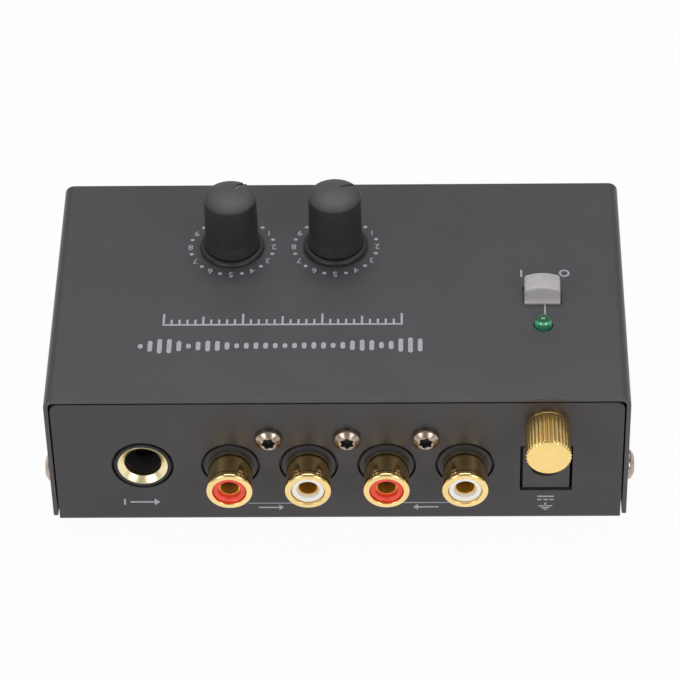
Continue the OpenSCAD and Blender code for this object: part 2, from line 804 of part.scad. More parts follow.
module jack_ferrule() color([0.85, 0.68, 0.35]) place() on_panel(jack_x, jack_z) difference() {
    bar(jack_ferrule_d / 2, jack_nose_reach - jack_ferrule_l, jack_nose_reach);
    bar(jack_bore_d / 2, jack_nose_reach - jack_ferrule_l - eps, jack_nose_reach + eps);
    translate([0, 0, jack_nose_reach - jack_bevel])
        cylinder(r1 = jack_bore_d / 2, r2 = jack_ferrule_d / 2 - 0.1, h = jack_bevel + 0.01);
}

// A leaf spring: it lies along its slot's outer wall and bends in to touch the plug.
module jack_leaf(length, tip_x) {
    wall_x = jack_slot_reach - slip;
    end_x = wall_x - 1.5 * leaf_t;
    rotate([90, 0, 0]) linear_extrude(height = leaf_w, center = true) polygon([
        [wall_x, 0], [wall_x, 0.2 * length], [tip_x + leaf_t, 0.55 * length],
        [end_x, 0.95 * length], [end_x - leaf_t, 0.95 * length], [tip_x, 0.55 * length],
        [wall_x - leaf_t, 0.2 * length], [wall_x - leaf_t, 0]
    ]);
}

module jack_contacts() color([0.8, 0.78, 0.7]) place() on_panel(jack_x, jack_z)
    for (a = [-90, 90]) rotate(a) translate([0, 0, jack_slot_z])
        jack_leaf(jack_slot_l - leaf_t, jack_bore_d / 2 - leaf_press);

// DC socket ---------------------------------------------------------------------

// The housing's front end is a little smaller, and stands in the panel's cut-out.
module dc_socket_housing() color([0.1, 0.1, 0.1]) place() on_panel(column_x, board_top) difference() {
    union() {
        translate([-dc_w / 2, 0, dc_front - dc_l]) cube([dc_w, dc_h, dc_l - dc_nose_l]);
        translate([-dc_w / 2 + dc_nose_step, dc_nose_step, dc_front - dc_l])
            cube([dc_w - 2 * dc_nose_step, dc_h - 2 * dc_nose_step, dc_l]);
    }
    translate([0, dc_axis_h, 0]) {
        bar(dc_bore_d / 2, dc_front - dc_bore_l, eps);
        bar(dc_tail_r + slip, dc_front - dc_l - eps, 0);
    }
    translate([-dc_slot_w / 2, dc_slot_y, dc_front - dc_bore_l])
        cube([dc_slot_w, 2 * dc_slot_wall, dc_slot_l]);
}

module dc_centre_pin() color([0.8, 0.8, 0.8]) place() on_panel(column_x, dc_z) {
    bar(dc_tail_r, dc_front - dc_l, dc_front - dc_bore_l + 0.1);
    bar(dc_pin_d / 2, dc_front - dc_bore_l, dc_front - 1);
    translate([0, 0, dc_front - 1]) cylinder(r1 = dc_pin_d / 2, r2 = dc_pin_d / 2 - 0.4, h = 0.4);
}

// The leaf lies on the floor of its slot and rises into the bore to touch the plug.
module dc_leaf_contact() color([0.8, 0.78, 0.7]) place() on_panel(column_x, board_top) {
    foot_l = 0.2 * dc_slot_l;
    tip_l = 0.6 * dc_slot_l;
    end_l = dc_slot_l - 0.3;
    rise = dc_slot_wall + leaf_t;
    leaf_side = dc_slot_w / 2 - 2 * slip;
    translate([leaf_side, dc_slot_y + slip, dc_front - dc_bore_l + slip]) rotate([0, -90, 0])
        linear_extrude(height = 2 * leaf_side) polygon([
            [0, 0], [foot_l, 0], [tip_l, rise - leaf_t], [end_l, leaf_t],
            [end_l, 2 * leaf_t], [tip_l, rise], [foot_l, leaf_t], [0, leaf_t]
        ]);
}

// Ground terminal -----------------------------------------------------------------

module ground_stud() color([0.85, 0.68, 0.35]) place() on_panel(column_x, post_z)
    bar(stud_d / 2, -tray_t - stud_tail, stud_reach);

module ground_inner_nut() color([0.85, 0.75, 0.5]) place() on_panel(column_x, post_z) difference() {
    translate([0, 0, -tray_t - tag_t - inner_nut_t])
        cylinder(r = inner_nut_af / 2 / cos(30), h = inner_nut_t, $fn = 6);
    bar(stud_d / 2 + slip, -tray_t - tag_t - inner_nut_t - eps, 0);
}

module ground_tag() color([0.8, 0.8, 0.78]) place() on_panel(column_x, post_z)
    translate([0, 0, -tray_t - tag_t]) linear_extrude(height = tag_t) difference() {
        union() {
            circle(r = stud_d / 2 + tag_rim);
            translate([lead_x, 0]) circle(r = 2.5 * lead_r);
            translate([lead_x, -2.5 * lead_r]) square([-lead_x, 5 * lead_r]);
        }
        circle(r = stud_d / 2 + slip);
        translate([lead_x, 0]) circle(r = lead_r + slip);
    }

// A bare wire from the tag's end, back over the board and down to it.
module ground_lead() color([0.75, 0.7, 0.6]) place() on_panel(column_x + lead_x, post_z) {
    lead_back = -tray_t - tag_t - lead_bend;
    bar(lead_r, lead_back, -tray_t - slip);
    translate([0, 0, lead_back]) sphere(r = lead_r);
    translate([0, 0, lead_back]) rotate([90, 0, 0]) bar(lead_r, 0, post_z - board_top);
}

module ground_washer() color([0.85, 0.68, 0.35]) place() on_panel(column_x, post_z)
    tube(nut_d / 2 - nut_bevel, stud_d / 2 + stud_fit, 0, washer_t);

module ground_thumb_nut() color([0.85, 0.68, 0.35]) place() on_panel(column_x, post_z) difference() {
    intersection() {
        translate([0, 0, washer_t]) linear_extrude(height = nut_l) difference() {
            circle(nut_d / 2);
            for (i = [0:flutes - 1])
                rotate(i * 360 / flutes) translate([nut_d / 2 + slip, 0]) circle(r = flute_r);
        }
        union() {
            bar(nut_d / 2, washer_t, nut_reach - nut_bevel);
            translate([0, 0, nut_reach - nut_bevel])
                cylinder(r1 = nut_d / 2, r2 = nut_d / 2 - nut_bevel, h = nut_bevel);
        }
    }
    bar(stud_d / 2 + stud_fit, washer_t - eps, washer_t + nut_bore_l);
}

// Potentiometers and knobs ----------------------------------------------------------

module pot_cans() color([0.72, 0.72, 0.74]) place() at_pots() difference() {
    union() {
        block(pot_w, pot_d, board_top + wafer_t, pot_top);
        bar(bushing_d / 2, pot_top - 0.1, pot_top + bushing_h);
    }
    block(pot_w - 2 * pot_sheet, pot_d - 2 * pot_sheet, board_top + wafer_t - eps, pot_top - pot_sheet);
    bar(shaft_r + shaft_fit, pot_top - eps, pot_top + bushing_h + eps);
}

module pot_wafers() color([0.45, 0.3, 0.15]) place()
    at_pots() block(pot_w, pot_d, board_top, board_top + wafer_t);

module pot_terminals() color([0.75, 0.75, 0.75]) place()
    at_pots() for (i = [-1:1]) translate([i * terminal_spacing, (pot_d + terminal_t) / 2, 0])
        block(terminal_w, terminal_t, board_top, board_top + wafer_t - rotor_gap);

module shaft(x) color([0.75, 0.75, 0.77]) place() translate([x, knob_y, 0]) {
    difference() {
        bar(shaft_r, flange_top - flange_t, shaft_top);
        translate([-shaft_r - eps, shaft_r - shaft_flat, knob_under + flat_from])
            cube([2 * (shaft_r + eps), shaft_d, shaft_seat]);
    }
    bar(rotor_r - rotor_gap, flange_top - flange_t, flange_top);
}

module rotor(x) color([0.15, 0.15, 0.15]) place() translate([x, knob_y, 0])
    bar(rotor_r, board_top + wafer_t + rotor_gap, flange_top - flange_t);

module grip_outline() {
    polygon(concat(
        [[0, grip_foot_z], [grip_foot_d / 2, grip_foot_z]],
        [[grip_foot_d / 2 - foot_flare, grip_foot_z + flare_h]],
        rim_arc,
        dome_arc
    ));
}

// The notch that the pointer sits in, from its inner end out past the rim.
module notch(z0) {
    translate([-pointer_w / 2, pointer_start * grip_rim_d / 2, z0]) cube([pointer_w, grip_foot_d, knob_h]);
}

module knob(x, pointer_deg, lift) {
    place() translate([x, knob_y, knob_under + lift]) rotate(-pointer_deg) children();
}

// The hard core: the skirt, the neck under the grip and the sleeve that takes the shaft.
module knob_core(x, pointer_deg, lift) color([0.13, 0.13, 0.14]) knob(x, pointer_deg, lift) difference() {
    union() {
        bar(skirt_d / 2, 0, skirt_edge);
        translate([0, 0, skirt_edge])
            cylinder(r1 = skirt_d / 2, r2 = skirt_d / 2 - skirt_slope, h = skirt_h - skirt_edge);
        bar(grip_foot_d / 2 - neck_step, skirt_h - 0.1, grip_foot_z);
        bar(core_r, grip_foot_z - 0.1, core_h);
    }
    rotate(pointer_deg) difference() {
        bar(shaft_r + slip, -eps, shaft_seat);
        translate([-shaft_r - eps, shaft_r - shaft_flat + slip, flat_from + slip])
            cube([2 * (shaft_r + eps), shaft_d, shaft_seat]);
    }
}

module grip(x, pointer_deg, lift) color([0.2, 0.2, 0.2]) knob(x, pointer_deg, lift) difference() {
    rotate_extrude() grip_outline();
    bar(core_r + slip, 0, core_h + slip);
    notch(notch_z);
}

// The pointer fills its notch up to a face that follows the domed top.
module pointer(x, pointer_deg, lift) color([0.9, 0.9, 0.9]) knob(x, pointer_deg, lift) intersection() {
    translate([0, 0, -pointer_sink]) rotate_extrude() grip_outline();
    notch(notch_z);
}

module left_shaft() shaft(-left_knob_x);
module left_rotor() rotor(-left_knob_x);
module left_knob_core() knob_core(-left_knob_x, left_pointer_deg, 0);
module left_grip() grip(-left_knob_x, left_pointer_deg, 0);
module left_pointer() pointer(-left_knob_x, left_pointer_deg, 0);
module right_shaft() shaft(-right_knob_x);
module right_rotor() rotor(-right_knob_x);
module right_knob_core() knob_core(-right_knob_x, right_pointer_deg, right_knob_lift);
module right_grip() grip(-right_knob_x, right_pointer_deg, right_knob_lift);
module right_pointer() pointer(-right_knob_x, right_pointer_deg, right_knob_lift);

// Power switch ------------------------------------------------------------------------

module switch_housing() color([0.15, 0.15, 0.16]) place() at_button() difference() {
    block(switch_w, switch_w, board_top, switch_top - switch_lid_t);
    block(switch_w - 2 * switch_wall, switch_w - 2 * switch_wall, spring_floor, switch_top);
}

module switch_lid() color([0.85, 0.85, 0.82]) place() at_button() difference() {
    block(switch_w, switch_w, switch_top - switch_lid_t, switch_top);
    hole_w = plunger_w + 2 * switch_lid_gap;
    block(hole_w, hole_w, switch_top - switch_lid_t - eps, switch_top + eps);
}

module switch_terminals() color([0.75, 0.75, 0.75]) place() at_button()
    for (s = [-1, 1], i = [-1:1]) translate([s * (switch_w + terminal_t) / 2, i * switch_pin_spacing, 0])
        block(terminal_t, terminal_w, board_top, board_top + switch_pin_h);

module switch_plunger() color([0.9, 0.9, 0.88]) place() at_button() {
    block(plunger_w, plunger_w, spring_top, plunger_top);
    block(plunger_flange_w, plunger_flange_w, spring_top, plunger_flange_top);
}

// The spring is one wire, swept round its helix as a ring of sides for each step.
function spring_point(i, j) =
    let (turn = 360 * spring_turns * i / spring_steps, side = 360 * j / spring_sides)
    let (r = spring_r + spring_wire_r * cos(side))
    [r * cos(turn), r * sin(turn), spring_low + spring_rise * i / spring_steps + spring_wire_r * sin(side)];

function ring_corner(i, j) = i * spring_sides + j % spring_sides;

module switch_spring() color([0.7, 0.7, 0.72]) place() at_button() polyhedron(
    points = [for (i = [0:spring_steps], j = [0:spring_sides - 1]) spring_point(i, j)],
    faces = concat(
        [[for (j = [0:spring_sides - 1]) ring_corner(0, j)]],
        [for (i = [0:spring_steps - 1], j = [0:spring_sides - 1])
            [ring_corner(i, j), ring_corner(i + 1, j), ring_corner(i + 1, j + 1), ring_corner(i, j + 1)]],
        [[for (j = [spring_sides - 1:-1:0]) ring_corner(spring_steps, j)]]
    )
);

// The visible key: its top is arched along X, and its front steps in above a foot.
module power_button() color([0.69, 0.68, 0.68]) place() at_button() difference() {
    union() {
        intersection() {
            along_y(-button_d / 2, button_d / 2) intersection() {
                translate([-button_w / 2, button_flange_top - slip]) square([button_w, case_h]);
                translate([0, case_h + button_h - button_arch_r]) circle(button_arch_r);
            }
            along_x(-button_w / 2, button_w / 2) button_side();
        }
        block(button_w - 2 * button_stem_gap, button_d - 2 * slip, button_foot, button_flange_top);
        block(button_w + 2 * button_flange_rim, button_d + 2 * button_flange_rim,
            button_flange_top - button_flange_t, button_flange_top);
        block(button_w, button_d, button_flange_top - button_flange_t / 2, case_h + button_stem_gap);
    }
    block(plunger_w + 2 * slip, plunger_w + 2 * slip, button_foot - eps, plunger_top + slip);
}

module button_side() {
    foot = button_d / 2;
    waist = foot - button_ledge;
    polygon([
        [-foot, button_flange_top - slip], [-foot, case_h + ledge_low],
        [-waist, case_h + ledge_high], [-waist, case_h + button_h + eps],
        [foot, case_h + button_h + eps], [foot, button_flange_top - slip]
    ]);
}

// Indicator -----------------------------------------------------------------------------

module led_lens() color([0.1, 0.5, 0.25]) place() at_led() {
    bar(led_r, led_base, led_top - led_r);
    translate([0, 0, led_top - led_r]) sphere(r = led_r);
    bar(led_r + led_flange_rim, led_base, led_base + led_flange_t);
}

module led_leads() color([0.75, 0.75, 0.75]) place() at_led()
    for (s = [-1, 1]) translate([s * lead_spacing / 2, 0, 0]) block(lead_w, lead_w, board_top, led_base);

module led_spacer() color([0.12, 0.12, 0.12]) place() at_led() difference() {
    bar(led_r + led_spacer_wall, board_top, led_base);
    for (s = [-1, 1])
        translate([s * lead_spacing / 2, 0, 0]) bar(lead_w * 0.75, board_top - eps, led_base + eps);
}

// Small parts on the board ------------------------------------------------------------------

module at_chips(z) {
    for (x = chip_columns) translate([x, chip_y, z]) children();
}

module opamp_sockets() color([0.12, 0.12, 0.13]) place() at_chips(board_top) difference() {
    block(chip_l + 2 * chip_socket_rim, chip_w + 8 * chip_socket_rim, 0, chip_socket_h);
    block(chip_l - chip_pin_spacing, chip_w / 2, board_t, chip_socket_h + eps);
}

module opamps() color([0.08, 0.08, 0.09]) place() at_chips(board_top + chip_socket_h) difference() {
    union() {
        block(chip_l, chip_w, chip_rise, chip_rise + chip_h);
        for (s = [-1, 1], i = [-1.5, -0.5, 0.5, 1.5])
            translate([i * chip_pin_spacing, s * (chip_w + chip_pin_w) / 2, 0])
                block(chip_pin_w, chip_pin_w, 0, chip_rise + chip_h / 2);
    }
    translate([-chip_l / 2, 0, chip_rise + chip_h - chip_mark_depth]) cylinder(r = chip_mark_r, h = eps);
}

module electrolytic_capacitors() color([0.1, 0.12, 0.3]) place()
    for (x = cap_columns, y = cap_rows) translate([x, y, board_top]) difference() {
        bar(cap_d / 2, 0, cap_h);
        tube(cap_d / 2 + eps, cap_d / 2 - cap_groove_t, cap_base, cap_base + cap_groove);
    }

module film_capacitors() color([0.6, 0.15, 0.1]) place()
    for (i = [-2.5:2.5])
        translate([rca_x + i * film_step, film_y, board_top]) block(film_l, film_t, 0, film_h);

module resistor() {
    rotate([0, 90, 0]) {
        bar(resistor_d / 2, -resistor_l / 2, resistor_l / 2);
        bar(resistor_lead_d / 2, -resistor_span / 2, resistor_span / 2);
    }
    for (s = [-1, 1]) translate([s * resistor_span / 2, 0, 0]) {
        sphere(r = resistor_lead_d / 2);
        bar(resistor_lead_d / 2, -resistor_rise, 0);
    }
}

module resistors() color([0.75, 0.62, 0.42]) place()
    for (x = resistor_columns, i = [0:4])
        translate([x, resistor_y + i * resistor_step, board_top + resistor_rise]) resistor();

module voltage_regulator() color([0.12, 0.12, 0.12]) place()
    translate([column_x - 1, board_d / 2 - regulator_from_back, board_top]) {
        tab_top = regulator_lead_l + regulator_h + regulator_tab_l;
        block(regulator_w, regulator_t, regulator_lead_l, regulator_lead_l + regulator_h);
        translate([0, (regulator_t - regulator_tab_t) / 2, 0]) difference() {
            block(regulator_w, regulator_tab_t, regulator_lead_l, tab_top);
            translate([0, 0, tab_top - regulator_tab_l / 2]) rotate([90, 0, 0])
                bar(regulator_hole_r, -regulator_t, regulator_t);
        }
        for (i = [-1:1]) translate([i * chip_pin_spacing, 0, 0])
            block(regulator_lead_w, regulator_lead_w, 0, regulator_lead_l + 0.1);
    }

top_cover();
chassis_tray();
rubber_feet();
cover_screws();
circuit_board();
board_standoffs();
board_screws();
phono_socket_housing();
phono_barrels();
red_insulators();
white_insulators();
phono_contacts();
phono_socket_screws();
jack_housing();
jack_ferrule();
jack_contacts();
dc_socket_housing();
dc_centre_pin();
dc_leaf_contact();
ground_stud();
ground_inner_nut();
ground_tag();
ground_lead();
ground_washer();
ground_thumb_nut();
pot_cans();
pot_wafers();
pot_terminals();
left_shaft();
left_rotor();
left_knob_core();
left_grip();
left_pointer();
right_shaft();
right_rotor();
right_knob_core();
right_grip();
right_pointer();
switch_housing();
switch_lid();
switch_terminals();
switch_plunger();
switch_spring();
power_button();
led_lens();
led_leads();
led_spacer();
opamp_sockets();
opamps();
electrolytic_capacitors();
film_capacitors();
resistors();
voltage_regulator();
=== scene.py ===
"""Looks of a phono preamp: fine shapes, procedural materials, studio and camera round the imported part."""

import math

import bmesh
import bpy
from mathutils import Matrix, Vector

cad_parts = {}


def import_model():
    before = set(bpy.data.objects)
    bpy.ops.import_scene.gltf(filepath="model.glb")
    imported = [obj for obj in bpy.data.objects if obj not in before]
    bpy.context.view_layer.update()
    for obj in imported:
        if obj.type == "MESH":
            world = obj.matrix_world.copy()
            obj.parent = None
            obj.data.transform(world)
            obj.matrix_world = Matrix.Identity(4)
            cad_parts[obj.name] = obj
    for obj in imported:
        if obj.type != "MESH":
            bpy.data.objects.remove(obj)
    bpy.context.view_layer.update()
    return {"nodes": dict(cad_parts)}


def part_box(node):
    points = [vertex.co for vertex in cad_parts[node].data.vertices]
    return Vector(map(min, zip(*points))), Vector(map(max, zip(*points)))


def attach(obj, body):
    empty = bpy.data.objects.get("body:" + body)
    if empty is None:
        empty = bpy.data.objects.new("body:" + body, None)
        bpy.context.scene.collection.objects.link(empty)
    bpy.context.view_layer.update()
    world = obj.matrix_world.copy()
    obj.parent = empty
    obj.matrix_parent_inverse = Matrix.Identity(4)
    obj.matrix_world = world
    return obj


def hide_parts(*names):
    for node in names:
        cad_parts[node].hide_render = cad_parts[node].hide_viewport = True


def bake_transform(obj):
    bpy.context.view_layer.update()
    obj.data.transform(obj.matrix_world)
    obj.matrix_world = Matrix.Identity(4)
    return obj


# Everything below is in millimetres and degrees, in the part's frame, until it becomes a mesh.
MM = 0.001

# Camera, at the photograph's viewing angle
CAMERA_TARGET = (0.009, 4.25, 19.267)
CAMERA_AZIMUTH = 1.718
CAMERA_ELEVATION = 42.419
CAMERA_ROLL = -1.443
CAMERA_DISTANCE = 668.149
CAMERA_SENSOR = 36
CAMERA_LENS = 191.526

# How fine the round forms are
SIDES = 72
FINE_SIDES = 96
KNOB_SIDES = 120
CORNER_STEPS = 4
BEVEL_STEPS = 2

# Angles of a quarter turn
QUARTER = range(0, 91, 15)

# Edges sharper than SHARP_DEG stay crisp, and a bevel rounds those sharper than BEVEL_DEG.
SHARP_DEG = 32
BEVEL_DEG = 30

# A CAD mesh is cleaned first: points closer than MERGE are joined and flat joints dissolved.
FLAT_DEG = 0.5
MERGE = 0.001

# Radii below this lie on the axis.
TINY = 1e-6

# A rounding takes at most this share of an edge.
CORNER_SHARE = 0.49

# Thickness of the print, the gap that keeps two faces apart, and the play round a turned part
INK = 0.02
HAIR = 0.01
CLEAR = 0.05

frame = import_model()


# Shapes ----------------------------------------------------------------------


def box(node):
    """Lowest and highest corner of a CAD node, in millimetres."""
    low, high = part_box(node)
    return low / MM, high / MM


def middle(node):
    """Middle of a CAD node's box, in millimetres."""
    low, high = box(node)
    return (low + high) / 2


def rounded(outline):
    """The outline with round corners. A corner is (r, z), or (r, z, radius of its rounding)."""
    points = []
    for i, corner in enumerate(outline):
        here = Vector(corner[:2])
        if len(corner) < 3:
            points.append(here)
            continue
        before = Vector(outline[i - 1][:2]) - here
        after = Vector(outline[(i + 1) % len(outline)][:2]) - here
        half = before.angle(after) / 2
        reach = min(corner[2] / math.tan(half), CORNER_SHARE * before.length, CORNER_SHARE * after.length)
        centre = here + (before.normalized() + after.normalized()).normalized() * reach / math.cos(half)
        start = here + before.normalized() * reach - centre
        end = here + after.normalized() * reach - centre
        first = math.atan2(start.y, start.x)
        swing = (math.atan2(end.y, end.x) - first + math.pi) % (2 * math.pi) - math.pi
        for k in range(CORNER_STEPS + 1):
            angle = first + swing * k / CORNER_STEPS
            points.append(centre + start.length * Vector((math.cos(angle), math.sin(angle))))
    return points


class Shape:
    """Points and faces in millimetres, gathered before they become one mesh."""

    def __init__(self):
        self.points = []
        self.faces = []

    def point(self, place, x, y, z):
        """Adds a point and gives its number."""
        self.points.append(place @ Vector((x, y, z)))
        return len(self.points) - 1

    def turn(self, outline, place, sides=SIDES, wave=None):
        """Turns an outline of (radius, height) round the Z axis of place.
        wave(angle, radius, height) gives the radius where the form isn't round."""
        rings = []
        for r, z in rounded(outline):
            if r < TINY:
                rings.append([self.point(place, 0, 0, z)] * sides)
                continue
            ring = []
            for j in range(sides):
                angle = 2 * math.pi * j / sides
                at = wave(angle, r, z) if wave else r
                ring.append(self.point(place, at * math.cos(angle), at * math.sin(angle), z))
            rings.append(ring)
        if outline[0][0] > 0:
            rings.append(rings[0])
        for low, high in zip(rings, rings[1:]):
            for j in range(sides):
                k = (j + 1) % sides
                corners = list(dict.fromkeys((low[j], low[k], high[k], high[j])))
                if len(corners) > 2:
                    self.faces.append(corners)

    def prism(self, outline, place, z0, z1):
        """Raises a flat outline of (x, y) from z0 to z1."""
        low = [self.point(place, x, y, z0) for x, y in outline]
        high = [self.point(place, x, y, z1) for x, y in outline]
        self.faces.append(low[::-1])
        self.faces.append(high)
        for j in range(len(outline)):
            k = (j + 1) % len(outline)
            self.faces.append([low[j], low[k], high[k], high[j]])

    def add(self, place, mesh):
        """Adds a mesh in millimetres."""
        first = len(self.points)
        self.points += [place @ v.co for v in mesh.vertices]
        self.faces += [[first + i for i in p.vertices] for p in mesh.polygons]

    def built(self, name):
        """The gathered points and faces as a mesh in metres."""
        mesh = bpy.data.meshes.new(name)
        mesh.from_pydata([p * MM for p in self.points], [], self.faces)
        return mesh


def up_from(x, y, z):
    """A place at that point, with the part's own directions."""
    return Matrix.Translation((x, y, z))


def on_panel(x, z):
    """A place on the connector panel: X stays, Y is up and Z points out."""
    return Matrix.Translation((x, PANEL_Y, z)) @ Matrix.Rotation(math.radians(90), 4, "X")


def turned_about_z(place, degrees):
    return place @ Matrix.Rotation(math.radians(degrees), 4, "Z")


def new_object(name, mesh):
    piece = bpy.data.objects.new(name, mesh)
    bpy.context.scene.collection.objects.link(piece)
    return piece


def shade(mesh, sharp=SHARP_DEG):
    mesh.shade_smooth()
    mesh.set_sharp_from_angle(angle=math.radians(sharp))


def evaluated_mesh(piece):
    """The piece's mesh with its modifiers applied."""
    bpy.context.view_layer.update()
    graph = bpy.context.evaluated_depsgraph_get()
    return bpy.data.meshes.new_from_object(piece.evaluated_get(graph))


def settle(piece, body, slot, nodes=(), finish=None):
    """Gives a piece its finish and the body that it rides on, and hides what it stands for."""
    piece.data.materials.clear()
    piece.data.materials.append(MATERIALS[finish or slot])
    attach(piece, body)
    if nodes:
        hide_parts(*nodes)
    return piece


def piece_of(name, shape, body, slot, nodes=(), sharp=SHARP_DEG, finish=None):
    """Makes one piece of a gathered shape."""
    mesh = shape.built(name)
    work = bmesh.new()
    work.from_mesh(mesh)
    bmesh.ops.recalc_face_normals(work, faces=work.faces)
    work.to_mesh(mesh)
    work.free()
    shade(mesh, sharp)
    return settle(new_object(name, mesh), body, slot, nodes, finish)


def apply_modifiers(piece):
    piece.data = evaluated_mesh(piece)
    piece.modifiers.clear()


def round_edges(piece, width, degrees):
    """Adds a bevel of that width to the edges sharper than that angle."""
    rounding = piece.modifiers.new("rounding", "BEVEL")
    rounding.width = width * MM
    rounding.segments = BEVEL_STEPS
    rounding.limit_method = "ANGLE"
    rounding.angle_limit = math.radians(degrees)


def flatten_normals(piece):
    """Lets large faces shade flat, up to their rounded edges."""
    weighting = piece.modifiers.new("weighting", "WEIGHTED_NORMAL")
    weighting.keep_sharp = True
    weighting.weight = 100
    apply_modifiers(piece)


def copied_mesh(name, node):
    """A mesh of its own with a CAD node's vertices and faces."""
    source = frame["nodes"][node].data
    mesh = bpy.data.meshes.new(name)
    mesh.from_pydata([v.co[:] for v in source.vertices], [], [p.vertices[:] for p in source.polygons])
    return mesh


def softened(name, node, body, slot, bevel, finish=None):
    """A copy of a CAD node with its edges rounded off, which stands for it."""
    mesh = copied_mesh(name, node)
    work = bmesh.new()
    work.from_mesh(mesh)
    bmesh.ops.remove_doubles(work, verts=work.verts, dist=MERGE * MM)
    bmesh.ops.dissolve_limit(
        work, angle_limit=math.radians(FLAT_DEG), verts=work.verts, edges=work.edges
    )
    work.to_mesh(mesh)
    work.free()
    piece = new_object(name, mesh)
    round_edges(piece, bevel, BEVEL_DEG)
    apply_modifiers(piece)
    shade(piece.data)
    flatten_normals(piece)
    return settle(piece, body, slot, [node], finish)


# Materials -------------------------------------------------------------------


def linear(tone):
    """A colour of 0 to 255 as the eye sees it, in the renderer's linear scale."""
    channels = []
    for value in tone:
        c = value / 255
        channels.append(c / 12.92 if c <= 0.04045 else ((c + 0.055) / 1.055) ** 2.4)
    return (*channels, 1)


def scaled(tone, factor):
    return tuple(min(255, c * factor) for c in tone)


class Finish:
    """A procedural material that is put together node by node."""

    def __init__(self, name):
        self.material = bpy.data.materials.new(name)
        self.material.use_nodes = True
        self.tree = self.material.node_tree
        self.shader = self.tree.nodes["Principled BSDF"]
        self.where = self.node("ShaderNodeTexCoord").outputs["Object"]

    def node(self, kind, **settings):
        made = self.tree.nodes.new(kind)
        for key, value in settings.items():
            setattr(made, key, value)
        return made

    def link(self, source, target):
        self.tree.links.new(source, target)

    def noise(self, grain, detail=3, stretch=(1, 1, 1), roughness=0.5):
        """Noise whose grain is that many millimetres, stretched along the axes."""
        spread = self.node("ShaderNodeMapping")
        spread.inputs["Scale"].default_value = [1 / s for s in stretch]
        self.link(self.where, spread.inputs["Vector"])
        noise = self.node("ShaderNodeTexNoise")
        noise.inputs["Scale"].default_value = 1 / (grain * MM)
        noise.inputs["Detail"].default_value = detail
        noise.inputs["Roughness"].default_value = roughness
        self.link(spread.outputs["Vector"], noise.inputs["Vector"])
        return noise.outputs["Fac"]

    def ramp(self, factor, stops):
        """A colour ramp of (place, colour) stops."""
        ramp = self.node("ShaderNodeValToRGB")
        elements = ramp.color_ramp.elements
        while len(elements) < len(stops):
            elements.new(0.5)
        for element, (place, colour) in zip(elements, stops):
            element.position = place
            element.color = colour
        self.link(factor, ramp.inputs["Fac"])
        return ramp.outputs["Color"]

    def span(self, factor, low, high, source=(0.3, 0.7)):
        """Spreads a factor over the range from low to high."""
        spread = self.node("ShaderNodeMapRange")
        spread.inputs["From Min"].default_value, spread.inputs["From Max"].default_value = source
        spread.inputs["To Min"].default_value = low
        spread.inputs["To Max"].default_value = high
        self.link(factor, spread.inputs["Value"])
        return spread.outputs["Result"]

    def maths(self, operation, *terms):
        """The result of a Math node whose terms are sockets and numbers."""
        node = self.node("ShaderNodeMath", operation=operation)
        for socket, term in zip(node.inputs, terms):
            if isinstance(term, (int, float)):
                socket.default_value = term
            else:
                self.link(term, socket)
        return node.outputs["Value"]

    def mix(self, factor, low, high):
        """A colour that goes from low to high as the factor rises. Each is a socket or a colour."""
        node = self.node("ShaderNodeMix", data_type="RGBA")
        self.link(factor, node.inputs["Factor"])
        for name, colour in (("A", low), ("B", high)):
            if isinstance(colour, tuple):
                node.inputs[name].default_value = colour
            else:
                self.link(colour, node.inputs[name])
        return node.outputs["Result"]

    def bump(self, height, depth):
        """Relief of that depth in millimetres."""
        bump = self.node("ShaderNodeBump")
        bump.inputs["Strength"].default_value = 1
        bump.inputs["Distance"].default_value = depth * MM
        self.link(height, bump.inputs["Height"])
        self.link(bump.outputs["Normal"], self.shader.inputs["Normal"])


def finish_of(name, tone, rough, grain, relief, metal=0.0, mottle=0.08, patch=6, spread=0.06, specular=0.5):
    """A surface with fine grain, soft patches of tone and an uneven gloss."""
    made = Finish(name)
    patches = made.noise(patch, detail=4)
    tones = made.ramp(patches, [
        (0.32, linear(scaled(tone, 1 - mottle))),
        (0.68, linear(scaled(tone, 1 + mottle))),
    ])
    made.link(tones, made.shader.inputs["Base Color"])
    grains = made.noise(grain, detail=2)
    made.link(made.span(grains, rough - spread, rough + spread), made.shader.inputs["Roughness"])
    made.bump(grains, relief)
    made.shader.inputs["Metallic"].default_value = metal
    made.shader.inputs["Specular IOR Level"].default_value = specular
    return made.material


